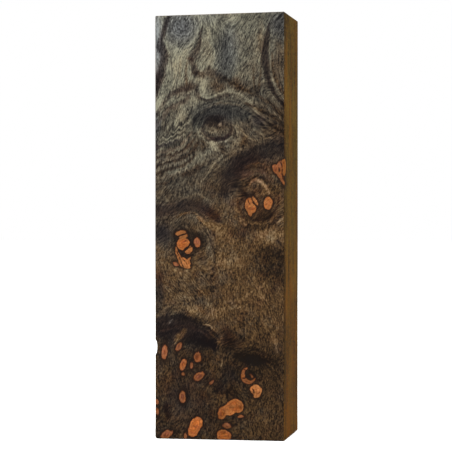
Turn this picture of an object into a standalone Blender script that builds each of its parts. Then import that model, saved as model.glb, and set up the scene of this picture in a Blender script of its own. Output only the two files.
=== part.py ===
"""A sawn block of stabilized neem burl, standing on its end.

One solid piece of wood. The sanded show face looks towards -Y, +Z runs up the
length of the block, and the origin is the middle of the bottom end. The ends
were cut with a saw that stood slightly out of square, the arrises are eased by
hand, and one bark pocket breaks open on the left edge of the show face.
"""

import math

import bmesh
import bpy
from mathutils import Vector

# The block, in metres
WIDTH = 0.040
THICKNESS = 0.030
HEIGHT = 0.1302
# How much lower the saw left the top end at its left side and at its front
TOP_LEFT_DROP = 0.0006
TOP_FRONT_DROP = 0.0001

# Radius of each eased edge; the widest one drives the Bevel modifier
EASE_FINE = 0.00035
EASE_BOTTOM_LEFT = 0.0009
EASE_BACK_TOP = 0.0013
EASE_BACK_BOTTOM = 0.0024
EASE_SEGMENTS = 4

# The open bark pocket on the left front edge: its middle, and its half sizes
POCKET_HEIGHT = 0.0280
POCKET_HALF_LENGTH = 0.0024
POCKET_HALF_WIDTH = 0.0007
POCKET_HALF_DEPTH = 0.0030
POCKET_LEAN = math.radians(4)
POCKET_SEGMENTS = 24
POCKET_RINGS = 16

# Finish of the sanded burl
WOOD_COLOUR = (0.078, 0.053, 0.034, 1.0)
WOOD_ROUGHNESS = 0.45


def clear_scene():
    """Removes what the startup scene holds."""
    for obj in list(bpy.data.objects):
        bpy.data.objects.remove(obj, do_unlink=True)


def new_collection(name):
    """A collection linked to the scene."""
    collection = bpy.data.collections.new(name)
    bpy.context.scene.collection.children.link(collection)
    return collection


def burl_material():
    """Dark brown sanded burl."""
    material = bpy.data.materials.new("sanded_burl")
    material.use_nodes = True
    shader = material.node_tree.nodes["Principled BSDF"]
    shader.inputs["Base Color"].default_value = WOOD_COLOUR
    shader.inputs["Roughness"].default_value = WOOD_ROUGHNESS
    shader.inputs["Metallic"].default_value = 0.0
    material.diffuse_color = WOOD_COLOUR
    return material


def at_left(point):
    """True for a corner on the left side of the block."""
    return point.x < 0


def at_back(point):
    """True for a corner on the back of the block."""
    return point.y > 0


def at_bottom(point):
    """True for a corner on the bottom end."""
    return point.z < HEIGHT / 2


def ease_radius(edge):
    """How far an edge of the sawn block was rounded over."""
    ends = [vert.co for vert in edge.verts]
    if all(at_bottom(p) and at_left(p) for p in ends):
        return EASE_BOTTOM_LEFT
    if all(at_bottom(p) and at_back(p) for p in ends):
        return EASE_BACK_BOTTOM
    if all(at_back(p) and not at_bottom(p) for p in ends):
        return EASE_BACK_TOP
    return EASE_FINE


def sawn_mesh():
    """The block as it left the saw, with each edge weighted by its easing."""
    mesh = bpy.data.meshes.new("burl_block")
    bm = bmesh.new()
    bmesh.ops.create_cube(bm, size=1.0)
    bmesh.ops.translate(bm, verts=bm.verts, vec=Vector((0, 0, 0.5)))
    bmesh.ops.scale(bm, verts=bm.verts, vec=Vector((WIDTH, THICKNESS, HEIGHT)))
    for vert in bm.verts:
        if at_bottom(vert.co):
            continue
        if at_left(vert.co):
            vert.co.z -= TOP_LEFT_DROP
        if not at_back(vert.co):
            vert.co.z -= TOP_FRONT_DROP
    weight = bm.edges.layers.float.new("bevel_weight_edge")
    for edge in bm.edges:
        edge[weight] = ease_radius(edge) / EASE_BACK_BOTTOM
    bm.to_mesh(mesh)
    bm.free()
    return mesh


def bark_pocket(collection):
    """The cutter for the pocket where bark fell out of the left front edge."""
    mesh = bpy.data.meshes.new("bark_pocket_cutter")
    bm = bmesh.new()
    bmesh.ops.create_uvsphere(
        bm, u_segments=POCKET_SEGMENTS, v_segments=POCKET_RINGS, radius=1.0
    )
    half_sizes = (POCKET_HALF_WIDTH, POCKET_HALF_DEPTH, POCKET_HALF_LENGTH)
    bmesh.ops.scale(bm, verts=bm.verts, vec=Vector(half_sizes))
    bm.to_mesh(mesh)
    bm.free()
    cutter = bpy.data.objects.new("bark_pocket_cutter", mesh)
    cutter.location = (-WIDTH / 2, -THICKNESS / 2, POCKET_HEIGHT)
    cutter.rotation_euler = (0, POCKET_LEAN, 0)
    cutter.hide_render = True
    cutter.display_type = "WIRE"
    collection.objects.link(cutter)
    return cutter


def burl_block(collection, cutter):
    """The block itself, its edges eased and its pocket cut."""
    mesh = sawn_mesh()
    mesh.materials.append(burl_material())
    block = bpy.data.objects.new("burl_block", mesh)
    collection.objects.link(block)
    ease = block.modifiers.new("eased edges", "BEVEL")
    ease.limit_method = "WEIGHT"
    ease.width = EASE_BACK_BOTTOM
    ease.segments = EASE_SEGMENTS
    cut = block.modifiers.new("bark pocket", "BOOLEAN")
    cut.operation = "DIFFERENCE"
    cut.solver = "EXACT"
    cut.object = cutter
    return block


def main():
    clear_scene()
    parts = new_collection("stabilized_burl_block")
    cutters = new_collection("cutters")
    burl_block(parts, bark_pocket(cutters))


main()
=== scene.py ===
"""A sawn block of stabilized neem burl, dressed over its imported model.

The block is cut into a fine grid, the burl's figure is worked out on it from
routes and patches measured on the show face, and the finish turns that figure
into wood. Lengths are metres, except in the tables of the figure, which give
millimetres on the show face: x to the right of its middle, z up from its foot.
"""

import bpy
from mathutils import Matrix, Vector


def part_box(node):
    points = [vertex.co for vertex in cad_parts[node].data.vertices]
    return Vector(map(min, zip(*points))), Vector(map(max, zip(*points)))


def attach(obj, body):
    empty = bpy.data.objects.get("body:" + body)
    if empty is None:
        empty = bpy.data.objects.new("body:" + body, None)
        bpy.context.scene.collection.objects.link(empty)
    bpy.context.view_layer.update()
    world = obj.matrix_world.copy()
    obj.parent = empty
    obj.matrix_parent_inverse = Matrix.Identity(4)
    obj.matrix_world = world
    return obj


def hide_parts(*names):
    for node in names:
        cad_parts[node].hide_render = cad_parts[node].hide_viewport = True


bl_info = {
    "name": "Stabilized Burl Block",
    "version": (1, 0, 0),
    "blender": (4, 5, 0),
    "location": "View3D > Sidebar > Burl Block",
    "description": "A sawn block of dark burl with orange eyes, in a pale studio",
    "category": "Add Mesh",
}

import math
from collections import namedtuple

import bmesh
import bpy
import numpy as np
from bpy.props import FloatProperty, FloatVectorProperty, IntProperty, PointerProperty
from mathutils import Vector

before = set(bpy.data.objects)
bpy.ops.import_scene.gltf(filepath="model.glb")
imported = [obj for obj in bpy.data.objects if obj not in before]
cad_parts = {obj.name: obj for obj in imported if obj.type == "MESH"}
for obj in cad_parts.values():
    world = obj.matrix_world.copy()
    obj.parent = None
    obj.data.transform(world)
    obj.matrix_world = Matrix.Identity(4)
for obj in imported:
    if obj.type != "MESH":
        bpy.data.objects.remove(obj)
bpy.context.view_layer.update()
LOW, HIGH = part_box("burl_block")
MM = 0.001

# Cutting the block into its grid
MERGE_DISTANCE = 1e-6
SNAP_DISTANCE = 1e-6
FLAT_ANGLE = math.radians(0.05)
EDGE_MARGIN = 0.45 * MM
SHOW_FACE_BAND = 0.5 * MM

# Rows of the figure's tables. A route is (x, z, width) points. Shade, warmth and plum add to
# the wood's own, and rise is how fast growth climbs on the left of a route.
Seam = namedtuple("Seam", "route shade warmth plum rise", defaults=(0.0, 0.0, 0.0))
Guide = namedtuple("Guide", "route rise")
Patch = namedtuple("Patch", "x z half_x half_z tilt shade warmth plum", defaults=(0.0, 0.0))
Area = namedtuple("Area", "x z half_x half_z tilt share", defaults=(1.0,))
Pip = namedtuple("Pip", "x z half_x half_z tilt hue tone")
Streak = namedtuple("Streak", "route hue tone")

# The wood's tone and warmth at a few heights, at the left and at the right of the show face.
# The lighter, cooler top and darker, warmer foot are partly the wood's own colour and partly a painted
# sheen of the soft light on the upper face.
TONE_HEIGHTS = (5, 15, 25, 35, 45, 55, 65, 75, 85, 95, 105, 115, 125)
TONES_LEFT = (0.185, 0.20, 0.19, 0.25, 0.255, 0.285, 0.275, 0.245, 0.285, 0.325, 0.435, 0.50, 0.50)
TONES_RIGHT = (0.21, 0.20, 0.165, 0.255, 0.23, 0.25, 0.26, 0.25, 0.265, 0.21, 0.28, 0.305, 0.36)
WARMTHS_LEFT = (0.85, 0.9, 0.9, 0.6, 0.7, 0.75, 0.5, 0.28, 0.16, 0.10, 0.04, 0.0, 0.0)
WARMTHS_RIGHT = (1.0, 1.05, 1.0, 1.1, 1.15, 1.05, 1.0, 0.75, 0.6, 0.35, 0.2, 0.12, 0.03)

SEAMS = (
    # bark seam left of the top eye
    Seam(((-15.6, 130.5, 1.0), (-16.3, 128, 1.3), (-17.3, 124.8, 1.5), (-18.2, 122.0, 1.7),
          (-18.3, 119.9, 2.2), (-17.3, 118.0, 2.9), (-17.6, 114.8, 2.3), (-18.0, 112.4, 2.3),
          (-18.7, 110.2, 2.8), (-19.4, 107.6, 2.2), (-20.6, 104.4, 1.4)), -0.25, 0.2, 0.45, 0.8),
    # bark seam right of the top eye, and its step to the right
    Seam(((-5.3, 126, 0.4), (-5.6, 123.4, 0.7), (-6.0, 121.2, 1.2), (-6.7, 119.4, 1.9), (-7.6, 117.6, 2.7),
          (-8.5, 115.9, 2.4), (-8.1, 114.2, 1.9), (-7.5, 112.4, 1.9)), -0.18, 0.15, 0.35, -0.8),
    Seam(((-10.2, 116.1, 0.5), (-8.4, 116.0, 1.0)), -0.09, 0.2, 0.3),
    Seam(((-7.8, 111.8, 1.4), (-6.0, 111.7, 2.2), (-3.8, 111.8, 2.8), (-1.6, 111.6, 2.8), (0.4, 110.8, 2.0),
          (2.0, 109.6, 1.0)), -0.125, 0.22, 0.2),
    # arch of bark between the two upper eyes
    Seam(((-20.4, 98.2, 1.0), (-19.0, 100.4, 1.2), (-17.4, 102.8, 1.1), (-15.4, 104.9, 1.3),
          (-13.0, 106.3, 1.6), (-10.8, 107.2, 1.8), (-8.8, 108.2, 2.4), (-7.4, 107.4, 1.6),
          (-6.6, 105.6, 1.0), (-5.2, 103.9, 0.9), (-3.0, 103.4, 0.8), (0.0, 104.2, 0.7), (3.0, 104.9, 0.6)),
          -0.125, 0.08, 0.25, -0.7),
    Seam(((-9.6, 104.6, 1.2), (-11.0, 103.0, 1.1), (-13.4, 102.1, 1.3), (-16.0, 101.0, 1.3),
          (-17.5, 98.6, 1.1), (-20.4, 95.0, 1.1)), -0.118, 0.08, 0.4, 0.7),
    # the two long seams down the right edge, and the pale line between them
    Seam(((15.3, 126.6, 0.6), (14.6, 123.0, 1.5), (14.2, 119.6, 2.1), (14.1, 115.2, 2.1),
          (14.5, 112.2, 1.7), (15.2, 109.4, 1.3), (16.4, 106.4, 1.1), (18.0, 103.8, 1.0),
          (20.5, 100.9, 0.9)), -0.165, 0.2, 0.4, 0.9),
    Seam(((13.2, 121, 0.25), (12.7, 117.0, 0.35), (12.8, 113.0, 0.4), (13.5, 109.4, 0.4),
          (14.8, 106.4, 0.4), (16.6, 103.4, 0.4), (20.4, 99.4, 0.35)), 0.06, 0.05),
    Seam(((16.2, 118, 0.4), (16.2, 114.6, 0.8), (16.7, 111.6, 0.9), (17.5, 109.4, 0.9), (18.6, 107.0, 0.9),
          (20.4, 104.6, 0.8)), -0.07, 0.35, 0.0, 0.9),
    Seam(((15.8, 124, 0.25), (15.45, 119, 0.4), (15.4, 114.0, 0.45), (15.8, 111.4, 0.45),
          (16.8, 108.6, 0.5), (18.2, 106.0, 0.45), (20.4, 103.2, 0.4)), 0.07, 0.05),
    # the hairpin
    Seam(((10.2, 113, 0.3), (10.5, 109, 0.5), (10.9, 106.4, 0.7), (11.6, 105.5, 0.9), (12.2, 106.6, 0.7),
          (12.4, 110.0, 0.5), (13.0, 116, 0.3)), -0.104, 0.3, 0.0, -0.6),
    # seams that run from the notch of the V down to the right edge
    Seam(((1.6, 110.0, 0.9), (4.6, 108.3, 1.0), (7.6, 106.6, 1.1), (11.0, 104.7, 1.0), (14.4, 103.2, 1.0),
          (17.0, 101.2, 0.9), (20.4, 97.4, 0.8)), -0.07, 0.3, 0.0, 0.6),
    Seam(((11.0, 102.9, 0.4), (14.4, 101.4, 0.5), (18.0, 98.6, 0.5), (20.4, 96.4, 0.5)), 0.078),
    Seam(((8.0, 102.4, 0.5), (11.6, 101.0, 0.8), (15.5, 98.8, 0.8), (20.4, 95.2, 0.7)),
          -0.078, 0.3, 0.0, -0.6),
    Seam(((11.2, 100.2, 0.4), (14.4, 98.2, 0.5), (17.0, 96.3, 0.5), (20.4, 94.4, 0.4)),
          0.07, 0.1, 0.0, -0.6),
    Seam(((12.0, 98.6, 0.3), (15.4, 96.4, 0.4), (18.0, 94.6, 0.4), (20.4, 92.9, 0.4)),
          -0.061, 0.3, 0.0, -0.6),
    Seam(((12.4, 97.2, 0.3), (15.4, 95.2, 0.4), (18.0, 93.6, 0.4), (20.4, 92.2, 0.3)),
          0.052, 0.0, 0.0, -0.6),
    Seam(((13.0, 94.8, 0.3), (14.4, 94.2, 0.5), (15.8, 93.2, 0.3)), 0.078),
    # cream band over the second eye
    Seam(((-5.6, 105.6, 0.7), (-4.4, 104.7, 1.0), (-2.0, 104.5, 0.8), (0.6, 105.2, 0.8), (2.6, 106.3, 1.0),
          (4.6, 106.0, 1.3), (6.6, 104.6, 1.0), (8.8, 103.1, 1.0), (10.4, 101.8, 0.8), (11.6, 100.0, 0.5)),
          0.113, -0.05, 0.0, -0.7),
    # dark band that sweeps from the right edge down round the third eye
    Seam(((20.5, 89.0, 5.0), (16.5, 88.6, 5.0), (12.5, 87.6, 4.6), (9.0, 86.2, 4.6), (6.0, 84.4, 4.8),
          (4.0, 81.6, 5.2), (2.8, 78.2, 4.8), (1.6, 75.2, 3.0)), -0.088, -0.15, 0.5),
    # thin lines that climb beside its upper lip
    Seam(((-6.8, 78.4, 0.3), (-4.2, 80.4, 0.5), (-2.2, 83.2, 0.6), (-0.2, 85.6, 0.6), (2.2, 87.8, 0.4)),
          0.087, 0.0, 0.0, 0.6),
    Seam(((-3.4, 80.4, 0.3), (-1.4, 82.8, 0.5), (1.0, 85.6, 0.5), (4.4, 88.4, 0.4)), -0.052, 0.0, 0.0, 0.6),
    Seam(((-2.4, 79.6, 0.25), (-0.6, 82.2, 0.4), (1.8, 85.0, 0.4), (5.2, 88.0, 0.3)), 0.052, 0.0, 0.0, 0.6),
    # light speckled band under the zebra wood, and the dark blotches below it
    Seam(((-16.0, 81.0, 0.8), (-12.6, 82.2, 1.6), (-9.2, 83.6, 2.0), (-6.2, 85.6, 2.2), (-3.4, 87.6, 1.8)),
          0.085, -0.1, 0.0, 0.5),
    Seam(((-11.4, 80.4, 0.8), (-9.2, 81.6, 1.4), (-7.0, 82.6, 1.5), (-5.4, 83.6, 0.8)),
          -0.08, 0.2, 0.3, 0.5),
    # second eye: dark ring, the pale rings outside it, and the arcs of its cap
    Seam(((-4.6, 97.0, 0.5), (-5.2, 95.2, 0.8), (-4.7, 93.3, 1.0), (-3.0, 91.9, 1.3), (0.0, 91.6, 1.6),
          (2.5, 92.3, 1.3), (3.7, 94.0, 1.0), (3.6, 96.6, 0.7)), -0.065, 0.0, 0.4, 0.8),
    Seam(((-7.0, 95.2, 0.25), (-6.3, 93.6, 0.35), (-5.1, 92.1, 0.4), (-3.4, 90.9, 0.4), (-0.6, 90.7, 0.4),
          (2.4, 91.4, 0.45), (4.0, 92.4, 0.4)), 0.17, -0.05, 0.0, 0.7),
    Seam(((-6.3, 95.0, 0.2), (-5.7, 93.7, 0.3), (-4.6, 92.5, 0.3), (-3.2, 91.7, 0.25)),
          0.12, 0.1, 0.0, 0.7),
    Seam(((-2.4, 91.9, 0.7), (0.2, 91.9, 1.1), (2.6, 92.4, 0.6)), -0.04, 0.0, 0.8),
    Seam(((-7.6, 93.8, 0.3), (-6.2, 91.6, 0.4), (-4.4, 90.0, 0.5)), -0.08, 0.2, 0.0, 0.7),
    Seam(((3.2, 97.6, 0.3), (4.1, 95.6, 0.4), (4.0, 93.6, 0.35), (3.0, 92.6, 0.25)), 0.08, 0.0, 0.0, 0.7),
    Seam(((4.2, 98.0, 0.3), (4.5, 96.2, 0.5), (5.4, 94.4, 0.5), (5.8, 92.0, 0.4)), 0.11, 0.0, 0.0, 0.5),
    Seam(((-6.0, 99.4, 0.4), (-3.0, 101.6, 0.5), (1.0, 102.6, 0.5), (6.0, 101.8, 0.5), (9.6, 100.0, 0.3)),
          0.039, 0.2, 0.0, -0.8),
    Seam(((-7.0, 100.6, 0.4), (-3.6, 102.6, 0.5), (1.0, 103.5, 0.5), (6.6, 102.8, 0.5)),
          -0.044, 0.0, 0.0, -0.8),
    # lines right of the second eye
    Seam(((3.6, 96.4, 0.3), (5.9, 95.4, 0.6), (7.4, 93.4, 0.7), (9.8, 91.7, 0.5), (12.4, 91.0, 0.3)),
          0.087, 0.1, 0.0, 0.5),
    Seam(((5.9, 97.6, 0.3), (9.2, 95.2, 0.6), (12.0, 93.5, 0.6), (15.2, 91.9, 0.4), (18.4, 91.4, 0.2)),
          0.078, 0.1, 0.0, 0.4),
    # arc of dark wood over the fourth eye, and the thin pale lines on it
    Seam(((-20.4, 69.4, 3.6), (-16.5, 70.2, 3.6), (-12.0, 71.0, 3.4), (-8.0, 71.6, 3.4), (-4.4, 70.4, 3.2),
          (-1.8, 68.4, 2.4), (0.0, 66.6, 1.2)), -0.075, -0.05, 0.6, -0.7),
    Seam(((-18.6, 71.6, 0.3), (-15.0, 71.8, 0.5), (-12.0, 72.7, 0.5), (-9.5, 74.1, 0.5), (-6.3, 74.9, 0.4),
          (-4.5, 73.8, 0.4), (-2.0, 72.0, 0.4), (0.0, 70.2, 0.3)), 0.075, 0.1, 0.0, 0.5),
    Seam(((-13.4, 67.6, 0.3), (-12.0, 68.6, 0.4), (-9.5, 69.1, 0.5), (-7.4, 68.9, 0.4)),
          0.06, 0.6, 0.3, -0.7),
    Seam(((-7.6, 68.9, 0.3), (-6.4, 68.0, 0.4), (-5.4, 67.1, 0.45), (-4.3, 66.2, 0.35)),
          0.22, 0.5, 0.1, -0.7),
    Seam(((-7.2, 68.0, 0.2), (-6.0, 67.0, 0.3), (-4.6, 65.6, 0.3)), 0.14, 0.6, 0.2),
    Seam(((-4.2, 66.0, 0.8), (-2.4, 65.2, 1.6), (-0.2, 64.4, 2.2), (1.8, 62.7, 2.2), (3.6, 60.8, 1.6),
          (5.4, 59.2, 0.7)), 0.06, 0.45),
    Seam(((-6.0, 66.6, 0.4), (-4.3, 64.0, 0.5), (-2.8, 61.0, 0.55), (-1.8, 58.2, 0.5), (-1.2, 54.6, 0.45),
          (-1.4, 52.0, 0.4)), -0.09, 0.0, 0.2, -0.6),
    # third eye: cream crescent, its shadow, the arcs over it, the lower arc and its flecks
    Seam(((9.2, 77.6, 0.4), (10.0, 78.8, 0.7), (11.4, 79.2, 0.8), (13.0, 78.6, 0.8), (14.4, 77.0, 0.8),
          (15.4, 75.2, 0.5)), 0.215, 0.4, 0.4, -0.6),
    Seam(((8.6, 78.4, 0.5), (10.8, 80.0, 0.9), (14.0, 79.4, 0.9), (16.2, 77.0, 0.7), (17.2, 73.6, 0.4)),
          -0.07, 0.4, 0.1, -0.7),
    Seam(((6.4, 78.8, 0.4), (8.6, 80.9, 0.9), (11.6, 81.8, 1.1), (14.6, 80.9, 1.0), (16.8, 78.6, 0.6)),
          0.052, 0.1, 0.4, -0.7),
    Seam(((8.2, 83.4, 0.3), (11.2, 84.3, 0.5), (14.4, 83.3, 0.6), (16.8, 81.4, 0.5)),
          0.061, 0.2, 0.3, -0.7),
    Seam(((4.4, 69.0, 0.5), (6.4, 66.8, 0.9), (9.4, 65.0, 1.2), (12.8, 64.6, 1.3), (16.2, 65.8, 1.1),
          (20.2, 68.6, 0.8)), -0.07, 0.3, 0.2, 0.7),
    Seam(((5.4, 73.4, 0.4), (5.9, 70.4, 0.7), (7.4, 68.0, 0.8), (11.0, 66.7, 0.7), (15.0, 67.6, 0.7),
          (17.4, 70.4, 0.6), (18.2, 74.0, 0.4)), -0.05, 0.4, 0.4, 0.7),
    Seam(((4.8, 70.6, 0.25), (6.6, 67.6, 0.4), (9.6, 66.0, 0.45), (13.0, 65.8, 0.45), (16.4, 67.2, 0.4),
          (18.6, 70.0, 0.3)), 0.06, 0.5, 0.2, 0.7),
    Seam(((3.0, 67.6, 0.25), (5.6, 65.0, 0.4), (9.2, 63.3, 0.45), (13.6, 63.2, 0.4), (17.6, 64.8, 0.3)),
          0.05, 0.3, 0.2, 0.6),
    Seam(((7.0, 82.2, 0.3), (10.0, 83.2, 0.5), (13.4, 82.7, 0.5), (16.0, 80.9, 0.4)),
          -0.05, 0.3, 0.4, -0.7),
    Seam(((6.2, 67.3, 0.4), (7.2, 66.4, 0.8), (8.2, 65.7, 0.4)), 0.20, 0.5),
    Seam(((17.2, 66.0, 0.3), (18.6, 66.8, 0.8), (20.2, 67.8, 0.6)), 0.12, 0.6),
    # foot and left flank of the fourth eye
    Seam(((-8.2, 57.0, 0.5), (-7.0, 56.4, 0.7), (-5.6, 57.2, 0.5)), 0.07, -0.1),
    Seam(((-13.0, 55.6, 0.8), (-11.8, 53.8, 1.4), (-10.0, 52.0, 1.0)), 0.22, 0.4, -0.3),
    # light streaks and bands in the plain middle
    Seam(((-14.4, 53.0, 0.4), (-12.8, 51.4, 0.8), (-10.4, 49.0, 0.6)), 0.11),
    Seam(((-17.4, 47.4, 0.3), (-16.2, 46.2, 0.8), (-14.8, 45.0, 0.4)), 0.12, -0.2),
    Seam(((-6.8, 46.6, 0.3), (-5.6, 45.4, 0.5), (-4.6, 44.4, 0.3)), 0.10),
    Seam(((2.0, 41.6, 0.5), (5.4, 42.5, 0.9), (8.4, 44.2, 1.0), (10.4, 45.6, 0.5)), 0.095),
    Seam(((-2.0, 40.0, 0.5), (2.6, 40.1, 0.8), (5.4, 40.7, 0.8), (7.8, 40.8, 0.5)), 0.10),
    Seam(((10.6, 49.2, 0.4), (11.6, 47.2, 0.7), (12.8, 44.4, 0.8), (14.2, 42.2, 0.5)), 0.07, 0.15),
    Seam(((-13.6, 45.6, 0.5), (-8.0, 45.2, 0.8), (-2.4, 46.4, 1.3), (1.4, 46.8, 0.6)), -0.06, 0.0, 0.1),
    Seam(((10.8, 49.6, 0.6), (12.4, 46.6, 1.2), (13.8, 43.0, 1.0), (15.2, 40.0, 0.6)), 0.07, 0.2),
    Seam(((15.6, 33.2, 0.3), (17.0, 31.2, 0.8), (17.8, 29.0, 0.6), (18.1, 27.2, 0.5)), 0.12, -0.1),
    # dome of dark wood at the lower left, its arcs and streaks
    Seam(((-20.4, 33.6, 5.0), (-17.0, 34.2, 6.0), (-13.0, 34.4, 6.2), (-8.6, 33.2, 6.0), (-5.0, 31.6, 5.0),
          (-3.0, 30.2, 4.0), (-1.6, 28.6, 2.4)), -0.095, -0.35, 0.8),
    Seam(((-20.4, 36.2, 0.8), (-17.0, 37.4, 1.0), (-13.0, 37.6, 1.1), (-8.6, 36.6, 1.2), (-4.8, 35.0, 1.1),
          (-1.6, 33.0, 0.9), (0.2, 30.2, 0.6)), -0.06, -0.1, 0.2, -0.8),
    Seam(((-4.9, 35.4, 0.35), (-3.4, 34.8, 0.45), (-1.6, 33.6, 0.4)), 0.30, 0.1),
    Seam(((-0.8, 28.4, 0.3), (0.2, 30.4, 0.35), (1.0, 32.0, 0.3)), 0.12, 0.2, 0.2),
    Seam(((-2.8, 32.6, 0.25), (-1.0, 31.0, 0.35), (0.4, 29.6, 0.3)), 0.10, 0.2, 0.2),
    Seam(((-15.6, 35.2, 0.4), (-15.2, 36.1, 0.6), (-14.7, 36.8, 0.3)), 0.22, -0.5),
    Seam(((-13.8, 29.6, 0.8), (-12.8, 31.4, 1.8), (-10.8, 33.0, 1.6)), 0.12, 0.5, -0.4),
    Seam(((-18.4, 33.0, 0.6), (-12.4, 34.5, 0.6), (-6.6, 33.6, 0.7), (-2.8, 31.2, 0.5)),
          0.03, 0.1, 0.4, -0.6),
    # last eye: arcs over it
    Seam(((4.6, 24.2, 0.4), (7.6, 27.2, 0.7), (11.0, 27.9, 0.8), (14.4, 26.6, 0.7), (17.6, 23.6, 0.6),
          (19.8, 20.4, 0.5)), -0.06, 0.1, 0.1, -0.8),
    Seam(((6.2, 27.2, 0.2), (10.0, 29.0, 0.35), (14.0, 28.0, 0.3), (18.0, 24.8, 0.2)),
          0.05, 0.0, 0.0, -0.7),
    Seam(((6.4, 25.2, 0.2), (10.0, 26.6, 0.3), (14.0, 25.0, 0.3), (16.6, 22.0, 0.2)), 0.05, 0.2, 0.0, -0.7),
    Seam(((5.2, 25.2, 1.0), (6.6, 25.4, 2.4), (9.2, 25.0, 3.3), (11.6, 24.7, 3.0), (13.6, 24.7, 1.4),
          (15.4, 24.4, 0.4)), -0.08, -0.1),
    # pale wisps among the seeds
    Seam(((-3.6, 15.6, 0.3), (-2.6, 17.6, 0.5), (-2.0, 18.4, 0.2)), 0.10, 0.5),
    Seam(((0.7, 22.8, 0.3), (0.8, 23.5, 0.6), (0.7, 24.3, 0.3)), 0.28),
    Seam(((-7.0, 22.8, 0.3), (-5.4, 22.6, 0.5), (-4.2, 23.6, 0.3)), 0.07, -0.3),
    Seam(((-4.6, 15.0, 0.3), (-3.6, 12.0, 0.5), (-4.4, 9.4, 0.3)), 0.05, 0.1),
    # top eye: its dark rim, the broken pale ring in it, and the sweep below
    Seam(((-15.6, 128.6, 0.9), (-15.5, 124.6, 1.1), (-14.2, 122.0, 1.3), (-11.4, 120.8, 1.3),
          (-9.0, 121.9, 1.0), (-7.9, 125.0, 0.7), (-8.2, 128.4, 0.6)), -0.078, -0.1, 0.0, 0.8),
    Seam(((-14.2, 126.4, 0.4), (-13.8, 124.6, 0.5), (-11.6, 123.6, 0.6), (-9.3, 124.6, 0.6),
          (-8.8, 127.0, 0.5), (-10.6, 128.8, 0.6), (-13.0, 128.5, 0.5)), 0.065, -0.1, 0.0, 0.8),
    Seam(((-12.8, 126.6, 0.3), (-11.8, 125.4, 0.45), (-10.2, 125.6, 0.4), (-9.9, 127.0, 0.4),
          (-11.2, 127.9, 0.4), (-12.6, 127.4, 0.3)), 0.045, 0.0, 0.0, 0.8),
    Seam(((-7.0, 123.0, 0.6), (-8.6, 120.4, 1.2), (-11.2, 118.2, 1.8), (-13.0, 115.8, 1.6),
          (-13.6, 112.0, 1.2), (-14.2, 108.6, 0.6)), 0.061, 0.05),
    Seam(((-15.6, 120.6, 0.4), (-14.9, 117.0, 0.5), (-15.0, 113.0, 0.5), (-15.6, 109.0, 0.4)),
          -0.07, 0.0, 0.1, 0.6),
    Seam(((-12.2, 116.8, 0.3), (-12.2, 113.6, 0.45), (-12.6, 110.0, 0.35)), -0.07, 0.2),
    Seam(((-10.0, 115.0, 0.4), (-10.5, 112.0, 0.7), (-10.3, 108.6, 0.6)), -0.113, 0.3, 0.1, -0.6),
    Seam(((-12.6, 120.0, 0.2), (-10.0, 120.2, 0.3), (-7.8, 121.8, 0.3)), -0.061),
    Seam(((-6.0, 123.4, 0.2), (-7.6, 120.6, 0.3), (-10.8, 118.9, 0.35), (-13.6, 117.4, 0.35),
          (-14.2, 114.4, 0.35), (-14.0, 110.0, 0.3)), -0.10),
    Seam(((-7.2, 119.6, 0.2), (-9.6, 118.0, 0.3), (-12.2, 116.6, 0.3), (-13.2, 113.6, 0.3)), -0.07),
    Seam(((-4.0, 119.6, 0.2), (-5.6, 117.2, 0.35), (-7.0, 114.4, 0.3)), -0.10, 0.1),
    Seam(((-2.2, 118.4, 0.2), (-4.0, 116.0, 0.35), (-5.6, 113.6, 0.3)), -0.10, 0.1),
    # the V of grey wood: both its limbs, the small V on top, the lines beside it
    Seam(((-3.6, 130.4, 0.4), (-2.0, 124.6, 0.6), (-0.8, 119.0, 0.6), (0.5, 113.6, 0.5), (2.0, 110.6, 0.3),
          (3.4, 112.6, 0.3), (4.9, 118.0, 0.4), (6.7, 123.6, 0.4), (8.9, 130.4, 0.4)),
          -0.039, -0.2, 0.0, 0.8),
    Seam(((-0.8, 112.7, 0.25), (0.4, 111.8, 0.4), (1.6, 110.4, 0.35)), 0.113, 0.1),
    Seam(((-2.9, 126.0, 0.3), (-2.2, 122.4, 0.5), (-1.6, 117.4, 0.4), (-1.2, 114.0, 0.3)), 0.052),
    Seam(((0.6, 129.0, 0.4), (1.8, 127.0, 0.9), (3.4, 125.4, 1.1), (5.0, 125.9, 1.1), (6.8, 127.7, 1.0),
          (8.8, 129.8, 0.8)), -0.087, -0.1, 0.0, 0.7),
    Seam(((15.0, 124.2, 0.3), (17.0, 126.8, 0.6), (20.2, 130.4, 0.6)), -0.052, -0.1, 0.1, 0.6),
    Seam(((15.2, 125.8, 0.3), (16.4, 127.6, 0.4), (18.4, 129.8, 0.4)), 0.061, -0.1, 0.0, 0.6),
    Seam(((16.8, 123.6, 0.3), (18.2, 125.8, 0.4), (20.2, 128.4, 0.4)), 0.052, -0.1, 0.0, 0.6),
    # zebra wood left of the second eye
    Seam(((-20.4, 89.6, 1.5), (-17.4, 89.8, 1.1), (-14.4, 90.8, 0.7), (-11.4, 92.8, 0.5)),
          -0.05, -0.2, 0.5, -0.7),
    Seam(((-20.4, 87.3, 0.8), (-16.6, 87.9, 1.0), (-13.0, 89.4, 0.8), (-10.2, 91.4, 0.8),
          (-8.4, 93.8, 0.6)), 0.05, 0.1, 0.4, 0.7),
    Seam(((-20.4, 86.1, 0.7), (-16.0, 86.7, 0.6), (-12.0, 87.8, 0.8), (-9.5, 89.4, 0.8), (-7.8, 91.6, 0.7)),
          -0.085, 0.2, 0.4, 0.7),
    Seam(((-20.4, 84.9, 1.0), (-16.0, 85.5, 1.1), (-12.4, 86.6, 0.8), (-10.2, 87.8, 0.5)),
          0.055, 0.1, 0.3, 0.7),
    Seam(((-20.4, 83.8, 0.7), (-16.0, 84.5, 0.6), (-12.0, 85.6, 0.8), (-9.2, 87.1, 1.0), (-7.4, 89.2, 1.1),
          (-6.4, 91.0, 0.6)), -0.085, 0.25, 0.3, 0.7),
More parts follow.
